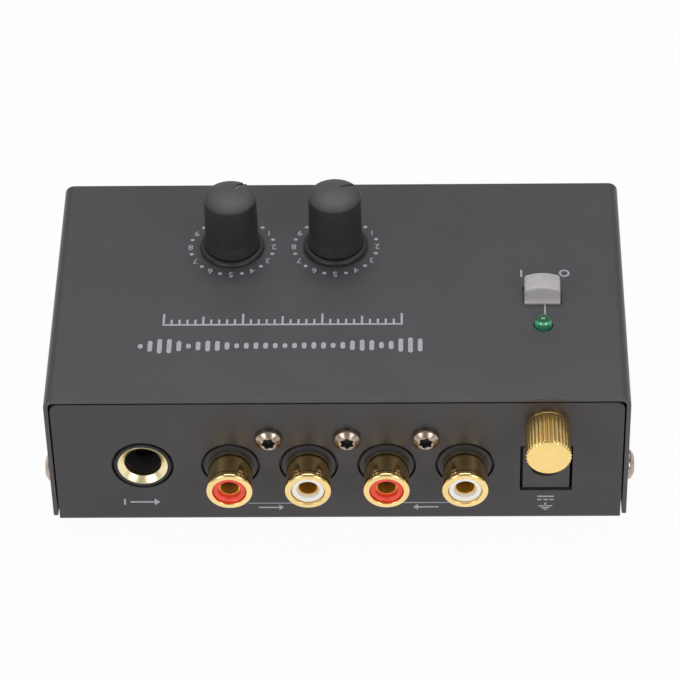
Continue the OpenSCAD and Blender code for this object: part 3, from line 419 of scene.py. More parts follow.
# The tone is 0 to 255 as seen, the grain and relief are in millimetres.
FINISHES = {
    "case_paint": dict(tone=(74, 72, 75), rough=0.42, grain=0.35, relief=0.006, mottle=0.03, patch=14),
    # The tray's paint is a darker copy of the cover's: painted shade on the connector panel.
    "tray_paint": dict(tone=(58, 55, 56), rough=0.42, grain=0.35, relief=0.006, mottle=0.03, patch=14),
    "foot_rubber": dict(tone=(32, 32, 33), rough=0.7, grain=0.3, relief=0.02),
    "screw_nickel": dict(
        tone=(178, 161, 147), rough=0.27, grain=0.2, relief=0.002, metal=1.0, mottle=0.12, patch=1.2,
    ),
    # Painted shade: the dark linings stand for the shadow deep in the screws' recesses.
    "recess_painted_shade": dict(tone=(34, 31, 30), rough=0.6, grain=0.2, relief=0.01, mottle=0.2, patch=0.6),
    "gold_plate": dict(
        tone=(255, 217, 142), rough=0.25, grain=0.5, relief=0.0001, metal=1.0, mottle=0.03, spread=0.02,
    ),
    "gold_barrel": dict(tone=(252, 218, 150), rough=0.16, grain=0.6, relief=0.0003, metal=1.0, mottle=0.03),
    "gold_ferrule": dict(
        tone=(255, 235, 190), rough=0.3, grain=0.3, relief=0.0001, metal=1.0, mottle=0.03, spread=0.02,
    ),
    "gold_contact": dict(tone=(255, 206, 104), rough=0.5, grain=0.25, relief=0.004, metal=1.0, mottle=0.06),
    "board_green": dict(tone=(24, 82, 46), rough=0.35, grain=0.4, relief=0.004, mottle=0.12, patch=2),
    "socket_black": dict(
        tone=(42, 41, 42), rough=0.5, grain=0.2, relief=0.006, mottle=0.08, patch=2, specular=0.4,
    ),
    # A lighter copy of the black socket plastic: painted light for the moulds' faces that the lamps catch.
    "socket_black_lit": dict(tone=(64, 61, 62), rough=0.5, grain=0.2, relief=0.006, mottle=0.05, patch=2),
    "insulator_red": dict(tone=(246, 76, 56), rough=0.22, grain=0.2, relief=0.002, mottle=0.04, patch=1.5),
    "insulator_white": dict(
        tone=(252, 250, 246), rough=0.22, grain=0.2, relief=0.002, mottle=0.01, patch=1.5,
    ),
    "contact_tin": dict(tone=(205, 203, 196), rough=0.3, grain=0.2, relief=0.002, metal=1.0),
    "can_steel": dict(tone=(190, 191, 194), rough=0.32, grain=0.3, relief=0.002, metal=1.0),
    "wafer_brown": dict(tone=(116, 74, 38), rough=0.6, grain=0.3, relief=0.01, patch=1),
    "shaft_aluminium": dict(tone=(196, 197, 200), rough=0.28, grain=0.15, relief=0.002, metal=1.0),
    "rotor_black": dict(tone=(36, 36, 36), rough=0.5, grain=0.2, relief=0.004),
    "knob_gloss": dict(tone=(46, 44, 45), rough=0.42, grain=0.3, relief=0.001, mottle=0.05, patch=2),
    "pointer_white": dict(tone=(238, 238, 236), rough=0.4, grain=0.2, relief=0.003, mottle=0.02, patch=1),
    "spring_steel": dict(tone=(190, 190, 194), rough=0.25, grain=0.15, relief=0.001, metal=1.0),
    "button_grey": dict(tone=(190, 187, 186), rough=0.38, grain=0.12, relief=0.003, mottle=0.015, patch=1.5),
    "chip_black": dict(tone=(30, 30, 31), rough=0.55, grain=0.1, relief=0.006, patch=1),
    "sleeve_blue": dict(tone=(26, 38, 96), rough=0.25, grain=0.5, relief=0.003, patch=3),
    "film_red": dict(tone=(150, 44, 30), rough=0.3, grain=0.6, relief=0.01, patch=2),
    "resistor_beige": dict(tone=(196, 168, 122), rough=0.45, grain=0.3, relief=0.01, patch=1.2),
    "print_ink": dict(tone=(176, 178, 188), rough=0.5, grain=0.12, relief=0.003, mottle=0.05, patch=0.6),
}

MATERIALS = {name: finish_of(name, **values) for name, values in FINISHES.items()}


def grip_rubber(side, rim_z):
    """Soft black rubber: streaks down its sides, pale specks at its rim, and a dome painted lighter as a
    painted sheen of the light from above.
    """
    made = Finish(side + "_rubber")
    patches = made.noise(3, detail=3)
    streaks = made.noise(0.22, detail=3, stretch=(1, 1, 9))
    body = made.ramp(streaks, [(0.3, linear((42, 41, 43))), (0.7, linear((54, 53, 55)))])
    specks = made.noise(0.2, detail=3, roughness=0.7)
    place = made.node("ShaderNodeSeparateXYZ")
    made.link(made.where, place.inputs["Vector"])
    height = place.outputs["Z"]
    dust_from, dust_to = rim_z - 1.6, rim_z - 0.15
    near_rim = made.span(height, 0, 0.07, source=(dust_from * MM, dust_to * MM))
    gathered = made.maths("ADD", specks, near_rim)
    dusty = made.ramp(gathered, [(0.66, (0, 0, 0, 1)), (0.78, (1, 1, 1, 1))])
    flanks = made.mix(dusty, body, linear((112, 110, 108)))
    # Painted sheen: the dome turns lighter towards its top, standing for the overhead light's sheen.
    sheen_from, sheen_to = rim_z - 0.2, rim_z + 0.8
    dome = made.span(height, 0, 1, source=(sheen_from * MM, sheen_to * MM))
    painted_sheen = made.ramp(specks, [(0.3, linear((72, 71, 73))), (0.7, linear((90, 89, 91)))])
    made.link(made.mix(dome, flanks, painted_sheen), made.shader.inputs["Base Color"])
    made.link(made.span(patches, 0.48, 0.58), made.shader.inputs["Roughness"])
    made.bump(streaks, 0.012)
    return made.material


def lens_green(axis, radius, top):
    """Clear green plastic: dark in its middle, with a painted pale crescent of light towards its front rim.
    """
    made = Finish("lens_green")
    apart = made.node("ShaderNodeVectorMath", operation="SUBTRACT")
    made.link(made.where, apart.inputs[0])
    apart.inputs[1].default_value = (axis.x * MM, axis.y * MM, top * MM)
    flat = made.node("ShaderNodeVectorMath", operation="MULTIPLY")
    made.link(apart.outputs["Vector"], flat.inputs[0])
    flat.inputs[1].default_value = (1, 1, 0)
    length = made.node("ShaderNodeVectorMath", operation="LENGTH")
    made.link(flat.outputs["Vector"], length.inputs[0])
    distance = made.span(length.outputs["Value"], 0, 1, source=(0, radius * MM))
    parts = made.node("ShaderNodeSeparateXYZ")
    made.link(apart.outputs["Vector"], parts.inputs["Vector"])
    # Painted light: the pale crescent grows towards the rim and most towards the front, where the front
    # lamps light the lens.
    front = made.span(parts.outputs["Y"], 1, 0.45, source=(-radius * MM, radius * MM))
    painted_crescent = made.maths("MULTIPLY", distance, front)
    cloud = made.noise(0.8, detail=2)
    uneven = made.maths("MULTIPLY_ADD", cloud, 0.16, painted_crescent)
    tones = made.ramp(uneven, [
        (0.0, linear((16, 86, 50))),
        (0.66, linear((20, 100, 60))),
        (0.86, linear((96, 204, 148))),
        (1.0, linear((40, 124, 84))),
    ])
    made.link(tones, made.shader.inputs["Base Color"])
    made.link(made.span(cloud, 0.06, 0.14), made.shader.inputs["Roughness"])
    made.shader.inputs["Coat Weight"].default_value = 1.0
    made.shader.inputs["Coat Roughness"].default_value = 0.05
    return made.material


# Places, from the frame ------------------------------------------------------

# The height of the case's underside above the floor
CASE_FLOOR = 2.0
CASE_LOW, CASE_HIGH = box("top_cover")
PANEL_Y = CASE_LOW.y
TOP_Z = CASE_HIGH.z

barrel_low, barrel_high = box("phono_barrels")
BARREL_R = (barrel_high.z - barrel_low.z) / 2
BARREL_REACH = PANEL_Y - barrel_low.y
RCA_Z = (barrel_high.z + barrel_low.z) / 2
RCA_STEP = (barrel_high.x - barrel_low.x - 2 * BARREL_R) / 3
RCA_ROW = [barrel_low.x + BARREL_R + i * RCA_STEP for i in range(4)]

LENS_R = 1.6
led_low, led_high = box("led_lens")
MATERIALS["lens_green"] = lens_green(middle("led_lens"), LENS_R, led_high.z)

# CAD nodes that keep their own shape -----------------------------------------

KEPT_FINISH = {
    "circuit_board": "board_green",
    "board_standoffs": "screw_nickel",
    "phono_contacts": "gold_contact",
    "jack_contacts": "contact_tin",
    "dc_centre_pin": "contact_tin",
    "dc_leaf_contact": "contact_tin",
    "ground_inner_nut": "gold_plate",
    "ground_tag": "contact_tin",
    "ground_lead": "contact_tin",
    "pot_cans": "can_steel",
    "pot_wafers": "wafer_brown",
    "pot_terminals": "contact_tin",
    "left_shaft": "shaft_aluminium",
    "right_shaft": "shaft_aluminium",
    "left_rotor": "rotor_black",
    "right_rotor": "rotor_black",
    "switch_housing": "rotor_black",
    "switch_lid": "insulator_white",
    "switch_terminals": "contact_tin",
    "switch_plunger": "insulator_white",
    "led_leads": "contact_tin",
    "led_spacer": "socket_black",
    "opamp_sockets": "chip_black",
    "opamps": "chip_black",
    "electrolytic_capacitors": "sleeve_blue",
    "film_capacitors": "film_red",
    "resistors": "resistor_beige",
    "voltage_regulator": "chip_black",
}
for node, slot in KEPT_FINISH.items():
    mesh = frame["nodes"][node].data
    mesh.materials.clear()
    mesh.materials.append(MATERIALS[slot])

# Case ------------------------------------------------------------------------

softened("cover_sheet", "top_cover", "case", "case_paint", bevel=0.12)
# The tray takes the darker copy of the case paint, as painted shade on the connector panel.
softened("tray_sheet", "chassis_tray", "case", "tray_paint", bevel=0.12)


def inner_corners(low, high, r):
    """The four places that lie r inside the corners of a box."""
    return [(x, y) for x in (low.x + r, high.x - r) for y in (low.y + r, high.y - r)]


feet = Shape()
foot_low, foot_high = box("rubber_feet")
FOOT_R = 4.5
FOOT_TREAD_R = FOOT_R - 0.2
FOOT_H = foot_high.z - foot_low.z
DIMPLE_R = 1.8
DIMPLE_RIM_R = 1.95
DIMPLE_DEPTH = 0.35
for x, y in inner_corners(foot_low, foot_high, FOOT_R):
    feet.turn([
        (0, DIMPLE_DEPTH), (DIMPLE_R, DIMPLE_DEPTH, 0.2), (DIMPLE_RIM_R, 0, 0.1),
        (FOOT_TREAD_R, 0, 0.4), (FOOT_R, FOOT_H, 0.15), (0, FOOT_H),
    ], up_from(x, y, foot_low.z))
piece_of("feet", feet, "case", "foot_rubber", ["rubber_feet"])

# Screws ----------------------------------------------------------------------


# The recess's radius is a share of the head's diameter, and its floor a share of the head's height.
RECESS_SHARE = 0.27
RECESS_TAPER = 0.94
FLOOR_SHARE = 0.25
TIP_DEPTH = 0.2
SHOULDER_SHARE = 0.55
CROWN_SHARE = 0.3
SHANK_R = 1.5
STAR_LOBES = 6
STAR_DEPTH = 0.22
LINING = 0.04
LINING_DROP = 0.3


def star(radius):
    """The wave of a recess with round lobes, for radii up to its own."""
    def wave(angle, r, z):
        lobe = STAR_DEPTH * (1 - math.cos(STAR_LOBES * angle)) / 2
        return r * (1 - lobe) if r <= radius + TINY else r
    return wave


def screw(shape, shade_lining, place, head_d, head_h, shank_l):
    """A pan-head screw whose head stands on the place's Z = 0, and a dark lining in its recess that paints
    the shade there.
    """
    recess = RECESS_SHARE * head_d
    foot = recess * RECESS_TAPER
    floor = FLOOR_SHARE * head_h
    shape.turn([
        (0, -shank_l), (SHANK_R, -shank_l, 0.3), (SHANK_R, 0, 0.1), (head_d / 2, 0, 0.12),
        (head_d / 2, SHOULDER_SHARE * head_h, 0.6), (CROWN_SHARE * head_d, head_h, 0.8),
        (recess, head_h, 0.08), (foot, floor, 0.1), (0, floor - TIP_DEPTH),
    ], place, sides=FINE_SIDES, wave=star(recess))
    lip = head_h - LINING_DROP
    shade_lining.turn([
        (0, floor + LINING), (foot - 2 * LINING, floor + LINING), (recess - 2 * LINING, lip),
        (recess - 0.5 * LINING, lip), (foot - 0.5 * LINING, floor + HAIR), (0, floor + HAIR),
    ], place, sides=FINE_SIDES, wave=star(recess))


# Dark linings in the screws' recesses are painted shade, for the shadow deep in each star.
recess_shade_linings = Shape()
cover_screws = Shape()
screw_low, screw_high = box("cover_screws")
COVER_HEAD_D = screw_high.z - screw_low.z
COVER_HEAD_H = screw_high.x - CASE_HIGH.x
COVER_SHANK = 4
SCREW_Z = (screw_low.z + screw_high.z) / 2
for side in (-1, 1):
    for y in (screw_low.y + COVER_HEAD_D / 2, screw_high.y - COVER_HEAD_D / 2):
        outward = Matrix.Rotation(math.radians(90 * side), 4, "Y")
        place = up_from(side * CASE_HIGH.x, y, SCREW_Z) @ outward
        screw(cover_screws, recess_shade_linings, place, COVER_HEAD_D, COVER_HEAD_H, COVER_SHANK)
piece_of("side_screws", cover_screws, "case", "screw_nickel", ["cover_screws"])

panel_screws = Shape()
screw_low, screw_high = box("phono_socket_screws")
PANEL_HEAD_D = screw_high.z - screw_low.z
PANEL_HEAD_H = PANEL_Y - screw_low.y
PANEL_SHANK = 8
PANEL_SCREW_Z = (screw_low.z + screw_high.z) / 2
PANEL_SCREW_TURNS = (8, 31, 17)
for left, right, turn in zip(RCA_ROW, RCA_ROW[1:], PANEL_SCREW_TURNS):
    place = turned_about_z(on_panel((left + right) / 2, PANEL_SCREW_Z), turn)
    screw(panel_screws, recess_shade_linings, place, PANEL_HEAD_D, PANEL_HEAD_H, PANEL_SHANK)
piece_of("socket_screws", panel_screws, "case", "screw_nickel", ["phono_socket_screws"])

board_screws = Shape()
screw_low, screw_high = box("board_screws")
BOARD_HEAD_D = 5.5
BOARD_HEAD_H = 1.4
BOARD_SHANK = 4.5
for x, y in inner_corners(screw_low, screw_high, BOARD_HEAD_D / 2):
    place = up_from(x, y, screw_low.z + BOARD_HEAD_H) @ Matrix.Rotation(math.pi, 4, "X")
    screw(board_screws, recess_shade_linings, place, BOARD_HEAD_D, BOARD_HEAD_H, BOARD_SHANK)
piece_of("floor_screws", board_screws, "case", "screw_nickel", ["board_screws"])
piece_of("screw_recess_shade", recess_shade_linings, "case", "recess_painted_shade")

# Sockets ---------------------------------------------------------------------

# The phono and DC moulds are black plastic shown in a lighter copy, as painted light on their faces.
softened("phono_mould", "phono_socket_housing", "case", "socket_black", bevel=0.1, finish="socket_black_lit")
softened("jack_mould", "jack_housing", "case", "socket_black", bevel=0.12)
softened("dc_mould", "dc_socket_housing", "case", "socket_black", bevel=0.15, finish="socket_black_lit")

SEAT = -8.0
COLLAR_REACH = 0.7
BARREL_TAIL_R = BARREL_R - 0.5
BARREL_BODY_R = BARREL_R - 0.13
BARREL_BORE_R = BARREL_R - 1.1
BARREL_STEP_R = BARREL_TAIL_R + 0.12
BARREL_STEP = 1.0
BARREL_SHOULDER = 1.12
LIP_FOOT = 5.35
LIP_BACK = 5.75
barrels = Shape()
for x in RCA_ROW:
    barrels.turn([
        (BARREL_BORE_R, SEAT), (BARREL_TAIL_R, SEAT), (BARREL_TAIL_R, COLLAR_REACH),
        (BARREL_STEP_R, COLLAR_REACH), (BARREL_STEP_R, BARREL_STEP, 0.05),
        (BARREL_BODY_R, BARREL_SHOULDER, 0.12), (BARREL_BODY_R, LIP_FOOT, 0.5), (BARREL_R, LIP_BACK, 0.4),
        (BARREL_R, BARREL_REACH, 0.46), (BARREL_BORE_R, BARREL_REACH, 0.15),
    ], on_panel(x, RCA_Z), sides=FINE_SIDES)
piece_of("barrels", barrels, "case", "gold_plate", ["phono_barrels"], finish="gold_barrel")

INSULATOR_R = 3.0
INSULATOR_FRONT = 6.5
BOWL_RIM_R = 2.05
BOWL_FLOOR = 5.8
CONTACT_SEAT_R = 2.05
CONTACT_HOLE_R = 1.9
CONTACT_FRONT = 5.6
for name, node, columns, slot in (
    ("insulators_red", "red_insulators", RCA_ROW[0::2], "insulator_red"),
    ("insulators_white", "white_insulators", RCA_ROW[1::2], "insulator_white"),
):
    insulators = Shape()
    for x in columns:
        insulators.turn([
            (CONTACT_SEAT_R, SEAT), (INSULATOR_R, SEAT), (INSULATOR_R, INSULATOR_FRONT, 0.25),
            (BOWL_RIM_R, INSULATOR_FRONT, 0.3), (CONTACT_HOLE_R, BOWL_FLOOR, 0.3),
            (CONTACT_HOLE_R, CONTACT_FRONT), (CONTACT_SEAT_R, CONTACT_FRONT),
        ], on_panel(x, RCA_Z))
    piece_of(name, insulators, "case", slot, [node])

FERRULE_R = 4.5
FERRULE_FRONT = 0.1
FERRULE_BACK = -2.0
FERRULE_BORE_R = 3.33
FERRULE_FACE_R = 4.42
FERRULE_SLOPE = 0.9
jack = middle("jack_ferrule")
ferrule = Shape()
ferrule.turn([
    (FERRULE_BORE_R, FERRULE_BACK), (FERRULE_R, FERRULE_BACK), (FERRULE_R, FERRULE_FRONT, 0.05),
    (FERRULE_FACE_R, FERRULE_FRONT, 0.1), (FERRULE_BORE_R, FERRULE_FRONT - FERRULE_SLOPE, 0.2),
], on_panel(jack.x, jack.z), sides=FINE_SIDES)
piece_of("ferrule", ferrule, "case", "gold_plate", ["jack_ferrule"], finish="gold_ferrule")

# Ground terminal -------------------------------------------------------------

post = middle("ground_thumb_nut")
nut_low, _ = box("ground_thumb_nut")
washer_low, _ = box("ground_washer")
stud_low, stud_high = box("ground_stud")
NUT_R = 4.05
WASHER_R = 3.75
NUT_FRONT = PANEL_Y - nut_low.y
WASHER_T = PANEL_Y - washer_low.y
NUT_BACK = WASHER_T + HAIR
NUT_BEARING_IN = 0.5
NUT_BACK_IN = 0.3
NUT_FRONT_IN = 0.32
NUT_CHAMFER = 0.35
STUD_R = (stud_high.z - stud_low.z) / 2
STUD_FRONT = PANEL_Y - stud_low.y
STUD_BACK = PANEL_Y - stud_high.y
STUD_TAIL = STUD_BACK - 0.001
STUD_TIP_R = STUD_R - 0.3
STUD_SIDES = 48
STUD_HOLE_R = STUD_R + CLEAR
STUD_HOLE_END = STUD_FRONT + 0.35
FLUTES = 30
FLUTE_SIDES = 12
FLUTE_DEPTH = 0.25
FLUTE_ROUND = 0.7
FLUTE_BAND = 0.2
THREAD_STEP = 0.7
THREAD_DEPTH = 0.28
THREAD_BAND = 0.1
THREAD_RING = 0.1


def knurl(angle, r, z):
    """Round ridges with narrow valleys between them."""
    valley = 1 - abs(math.sin(FLUTES * angle / 2)) ** FLUTE_ROUND
    return r - FLUTE_DEPTH * valley if r > NUT_R - FLUTE_BAND else r


def thread(angle, r, z):
    """A screw thread, for radii near the stud's own."""
    turn = (z / THREAD_STEP - angle / (2 * math.pi)) % 1
    flank = abs(2 * turn - 1)
    return r - THREAD_DEPTH * flank if r > STUD_R - THREAD_BAND else r


nut = Shape()
nut.turn([
    (STUD_HOLE_R, NUT_BACK), (NUT_R - NUT_BEARING_IN, NUT_BACK), (NUT_R - NUT_BACK_IN, NUT_BACK, 0.1),
    (NUT_R, WASHER_T + NUT_CHAMFER, 0.1), (NUT_R, NUT_FRONT - NUT_CHAMFER, 0.12),
    (NUT_R - NUT_FRONT_IN, NUT_FRONT, 0.1), (0, NUT_FRONT), (0, STUD_HOLE_END),
    (STUD_HOLE_R, STUD_HOLE_END),
], on_panel(post.x, post.z), sides=FLUTES * FLUTE_SIDES, wave=knurl)
piece_of("thumb_nut", nut, "thumb_nut", "gold_plate", ["ground_thumb_nut"], sharp=50)

washer = Shape()
washer.turn([
    (STUD_HOLE_R, 0), (WASHER_R, 0, 0.1), (WASHER_R, WASHER_T, 0.15), (STUD_HOLE_R, WASHER_T, 0.1),
], on_panel(post.x, post.z))
piece_of("washer_ring", washer, "washer", "gold_plate", ["ground_washer"])

stud = Shape()
ring_count = int((STUD_FRONT - STUD_BACK) / THREAD_RING)
wall = [(STUD_R, STUD_BACK + THREAD_RING * i) for i in range(ring_count)]
stud.turn(
    [(0, STUD_TAIL), *wall, (STUD_TIP_R, STUD_FRONT), (0, STUD_FRONT)],
    on_panel(post.x, post.z), sides=STUD_SIDES, wave=thread,
)
piece_of("threaded_stud", stud, "case", "gold_plate", ["ground_stud"], sharp=60)

# Knobs -----------------------------------------------------------------------

SHAFT_R = 3.05
SHAFT_SEAT = 9.0
SKIRT_H = 0.6
SKIRT_EDGE_IN = 0.14
SKIRT_EDGE_H = 0.16
SKIRT_SLOPE_IN = 0.36
SKIRT_SLOPE_DROP = 0.08
SKIRT_TOP_IN = 0.75
NECK_R = 4.55
GRIP_FOOT_Z = 0.9
GRIP_R = 4.8
WAIST_R = 4.9
FLARE_H = 2.2
FLARE_ROUND = 4.0
RIM_Z = 11.75
RIM_ROUND = 0.5
RIM_STEPS = 6
DOME_RISE = 1.35
DOME_STEPS = 13
SLEEVE_R = 3.95
SLEEVE_H = 9.8
GRIP_BORE_R = SLEEVE_R + CLEAR
GRIP_BORE_H = SLEEVE_H + CLEAR
NOTCH_W = 0.6
NOTCH_START = 1.44
NOTCH_FLOOR = 10.9
NOTCH_CUT_END = 8
NOTCH_CUT_TOP = 14
NOTCH_ROUND = 0.05
MARK_SINK = 0.45
MARK_PLAY = 0.02
MARK_TIP_IN = 0.03
MARK_FACE_IN = 0.2
MARK_LIFT = 0.04
ALONG_Y = Matrix(((0, 0, 1, 0), (1, 0, 0, 0), (0, 1, 0, 0), (0, 0, 0, 1)))


def heading(node, axis):
    """Direction of a node from an axis, in degrees from +Y towards +X."""
    vertices = frame["nodes"][node].data.vertices
    mean = sum((v.co for v in vertices), Vector()) / len(vertices) / MM
    return math.degrees(math.atan2(mean.x - axis.x, mean.y - axis.y))


def knob_core(side, base, skirt_r):
    """The hard core: its skirt, its neck and the sleeve inside the grip."""
    core = Shape()
    core.turn([
        (SHAFT_R, 0), (skirt_r - SKIRT_EDGE_IN, 0, 0.1), (skirt_r, SKIRT_EDGE_H, 0.12),
        (skirt_r - SKIRT_SLOPE_IN, SKIRT_H - SKIRT_SLOPE_DROP, 0.25),
        (skirt_r - SKIRT_TOP_IN, SKIRT_H, 0.2), (NECK_R, SKIRT_H), (NECK_R, GRIP_FOOT_Z),
        (SLEEVE_R, GRIP_FOOT_Z), (SLEEVE_R, SLEEVE_H), (0, SLEEVE_H), (0, SHAFT_SEAT), (SHAFT_R, SHAFT_SEAT),
    ], base, sides=KNOB_SIDES)
    piece_of(side + "_skirt", core, side + "_knob", "knob_gloss", [side + "_knob_core"])


def knob_crown(top):
    """A grip's outline over its rounded rim and its dome, up to the middle."""
    crown_r = (GRIP_R ** 2 + DOME_RISE ** 2) / (2 * DOME_RISE)
    crown_z = top - crown_r
    rim_in = GRIP_R - RIM_ROUND
    rim_up = math.sqrt((crown_r - RIM_ROUND) ** 2 - rim_in ** 2)
    meet = math.atan2(rim_up, rim_in)
    points = []
    for i in range(RIM_STEPS + 1):
        angle = meet * i / RIM_STEPS
        points.append((
            rim_in + RIM_ROUND * math.cos(angle), crown_z + rim_up + RIM_ROUND * math.sin(angle),
        ))
    for i in range(1, DOME_STEPS):
        angle = meet + (math.pi / 2 - meet) * i / DOME_STEPS
        points.append((crown_r * math.cos(angle), crown_z + crown_r * math.sin(angle)))
    return points


def knob_grip(side, base, foot_r, top, degrees):
    """The soft grip, with the mark's notch cut into its dome."""
    grip = Shape()
    grip.turn([
        (GRIP_BORE_R, GRIP_FOOT_Z), (foot_r, GRIP_FOOT_Z, 0.12),
        (WAIST_R, GRIP_FOOT_Z + FLARE_H, FLARE_ROUND), *knob_crown(top), (0, top), (0, GRIP_BORE_H),
        (GRIP_BORE_R, GRIP_BORE_H),
    ], base, sides=KNOB_SIDES)
    piece = piece_of(side + "_rubber", grip, side + "_knob", "grip_rubber", [side + "_grip"],
                     finish=side + "_rubber")
    cutter = Shape()
    half = NOTCH_W / 2
    cutter.prism(
        [(-half, NOTCH_START), (half, NOTCH_START), (half, NOTCH_CUT_END), (-half, NOTCH_CUT_END)],
        turned_about_z(base, -degrees), NOTCH_FLOOR, NOTCH_CUT_TOP,
    )
    tool = new_object("cutter", cutter.built("cutter"))
    cut = piece.modifiers.new("notch", "BOOLEAN")
    cut.object = tool
    cut.operation = "DIFFERENCE"
    cut.solver = "EXACT"
    round_edges(piece, NOTCH_ROUND, degrees=50)
    apply_modifiers(piece)
    bpy.data.objects.remove(tool)
    shade(piece.data, sharp=40)
    flatten_normals(piece)


def knob_mark(side, base, top, degrees):
    """The white strip in the notch. Its face follows the domed top."""
    mark = Shape()
    start, tip = NOTCH_START + MARK_PLAY, GRIP_R - MARK_TIP_IN
    foot = NOTCH_FLOOR + HAIR
    crown = [(r, z) for r, z in knob_crown(top) if r > NOTCH_START + MARK_FACE_IN]
    face = [(r - MARK_TIP_IN, z - MARK_SINK) for r, z in crown]
    inner = face[-1][1] + MARK_LIFT
    half = NOTCH_W / 2 - MARK_PLAY
    mark.prism(
        [(start, foot), (tip, foot), *face, (start, inner)],
        turned_about_z(base, -degrees) @ ALONG_Y, -half, half,
    )
    piece_of(side + "_mark", mark, side + "_knob", "pointer_white", [side + "_pointer"])


for side in ("left", "right"):
    core_low, core_high = box(side + "_knob_core")
    grip_low, grip_high = box(side + "_grip")
    axis = (core_low + core_high) / 2
    degrees = heading(side + "_pointer", axis)
    base = up_from(axis.x, axis.y, core_low.z)
    MATERIALS[side + "_rubber"] = grip_rubber(side, core_low.z + RIM_Z)
    knob_core(side, base, (core_high.x - core_low.x) / 2)
    top = grip_high.z - core_low.z
    knob_grip(side, base, (grip_high.x - grip_low.x) / 2, top, degrees)
    knob_mark(side, base, top, degrees)

# Button and light ------------------------------------------------------------

key_low, key_high = box("power_button")
key = middle("power_button")
KEY_HALF_W = 3.25
KEY_HALF_D = 2.35
KEY_FRONT = 1.9
KEY_ARCH_R = 7.2
KEY_ROUND = 0.4
KEY_SIDE_ROUND = 0.3
KEY_SPANS = 8
KEY_FOOT_Z = TOP_Z - 1.1
KEY_LEDGE = 0.15
KEY_LEDGE_Z = TOP_Z + KEY_LEDGE
KEY_FLARE_Z = TOP_Z + 1.05
FLANGE_OUT = 0.9
FLANGE_T = 1
FLANGE_LAP = 0.02
STEM_IN_W = 0.3
STEM_IN_D = 0.05


def key_ring(x, inset):
    """The cap's outline across the case at x, drawn in by the inset."""
    arch = KEY_ARCH_R - math.sqrt(KEY_ARCH_R ** 2 - x ** 2)
    top = key_high.z - arch - inset
    ledge = [(KEY_HALF_D, KEY_LEDGE_Z)]
    for a in QUARTER[1:]:
        angle = math.radians(a)
        ledge.append((
            KEY_HALF_D - (KEY_HALF_D - KEY_FRONT) * math.sin(angle),
            KEY_LEDGE_Z + (KEY_FLARE_Z - TOP_Z - KEY_LEDGE) * (1 - math.cos(angle)),
        ))
    back, front = (
        [(KEY_HALF_D, KEY_FOOT_Z), *steps, *[
            (reach - KEY_ROUND * (1 - math.cos(a)), top - KEY_ROUND * (1 - math.sin(a)))
            for a in map(math.radians, QUARTER)
        ]]
        for steps, reach in (([], KEY_HALF_D), (ledge, KEY_FRONT))
    )
    return [(y - inset, z) for y, z in back] + [(inset - y, z) for y, z in reversed(front)]


cap = Shape()
key_rings = []
stations = [
    (KEY_HALF_W - KEY_SIDE_ROUND * (1 - math.sin(a)), KEY_SIDE_ROUND * (1 - math.cos(a)))
    for a in map(math.radians, QUARTER)
]
inner = KEY_HALF_W - KEY_SIDE_ROUND
columns = [(-x, inset) for x, inset in reversed(stations)]
columns += [(inner * (i / KEY_SPANS - 1), 0) for i in range(1, 2 * KEY_SPANS)]
columns += stations
for x, inset in columns:
    key_rings.append([cap.point(up_from(key.x, key.y, 0), x, y, z) for y, z in key_ring(x, inset)])
for near, far in zip(key_rings, key_rings[1:]):
    for j in range(len(near)):
        k = (j + 1) % len(near)
        cap.faces.append([near[j], near[k], far[k], far[j]])
cap.faces.append(key_rings[0][::-1])
cap.faces.append(key_rings[-1])
flange_z = KEY_FOOT_Z + FLANGE_LAP
stem_z = flange_z - (FLANGE_T - FLANGE_LAP)
for half_w, half_d, low_z, high_z in (
    (KEY_HALF_W + FLANGE_OUT, KEY_HALF_D + FLANGE_OUT, flange_z - FLANGE_T, flange_z),
    (KEY_HALF_W - STEM_IN_W, KEY_HALF_D - STEM_IN_D, key_low.z, stem_z),
):
    cap.prism(
        [(-half_w, -half_d), (half_w, -half_d), (half_w, half_d), (-half_w, half_d)],
        up_from(key.x, key.y, 0), low_z, high_z,
    )
piece_of("key_cap", cap, "power_key", "button_grey", ["power_button"], sharp=50)

# The key's spring, as a copy of its CAD node that stands for it.
spring_mesh = copied_mesh("return_spring", "switch_spring")
shade(spring_mesh, sharp=60)
spring_mesh.materials.append(MATERIALS["spring_steel"])
spring = new_object("return_spring", spring_mesh)
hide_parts("switch_spring")
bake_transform(spring)

LENS_RIM_R = LENS_R + 0.25
LENS_RIM_H = 0.8
LENS_SIDES = 64
LENS_STEPS = 24
lens = Shape()
axis = middle("led_lens")
lens_l = led_high.z - led_low.z
dome_z = lens_l - LENS_R
lens.turn([
    (0, 0), (LENS_RIM_R, 0), (LENS_RIM_R, LENS_RIM_H), (LENS_R, LENS_RIM_H), (LENS_R, dome_z),
    *[(LENS_R * math.cos(a * math.pi / LENS_STEPS), dome_z + LENS_R * math.sin(a * math.pi / LENS_STEPS))
      for a in range(1, LENS_STEPS // 2)],
    (0, lens_l),
], up_from(axis.x, axis.y, led_low.z), sides=LENS_SIDES)
piece_of("lens", lens, "case", "lens_green", ["led_lens"])

# Print -----------------------------------------------------------------------

TOP_PRINT = up_from(0, 0, TOP_Z)
DIAL_R = 7.7
DIGIT_SIZE = 1.95

# A dial's 5 is at its front. Dots stand between each two numbers and beyond the first and last.
DIAL_FRONT = -90
DIAL_MIDDLE = 5
NUMBER_STEP = 30
DOT_STEP = 15
DOT_RX = 0.38
DOT_RY = 0.33
DOT_SIDES = 20


def bar(shape, place, x0, y0, x1, y1):
    shape.prism([(x0, y0), (x1, y0), (x1, y1), (x0, y1)], place, 0, INK)


def on_dial(axis, degrees):
    """X and Y of a point on the ring of a dial."""
    angle = math.radians(degrees)
    return axis.x + DIAL_R * math.cos(angle), axis.y + DIAL_R * math.sin(angle)


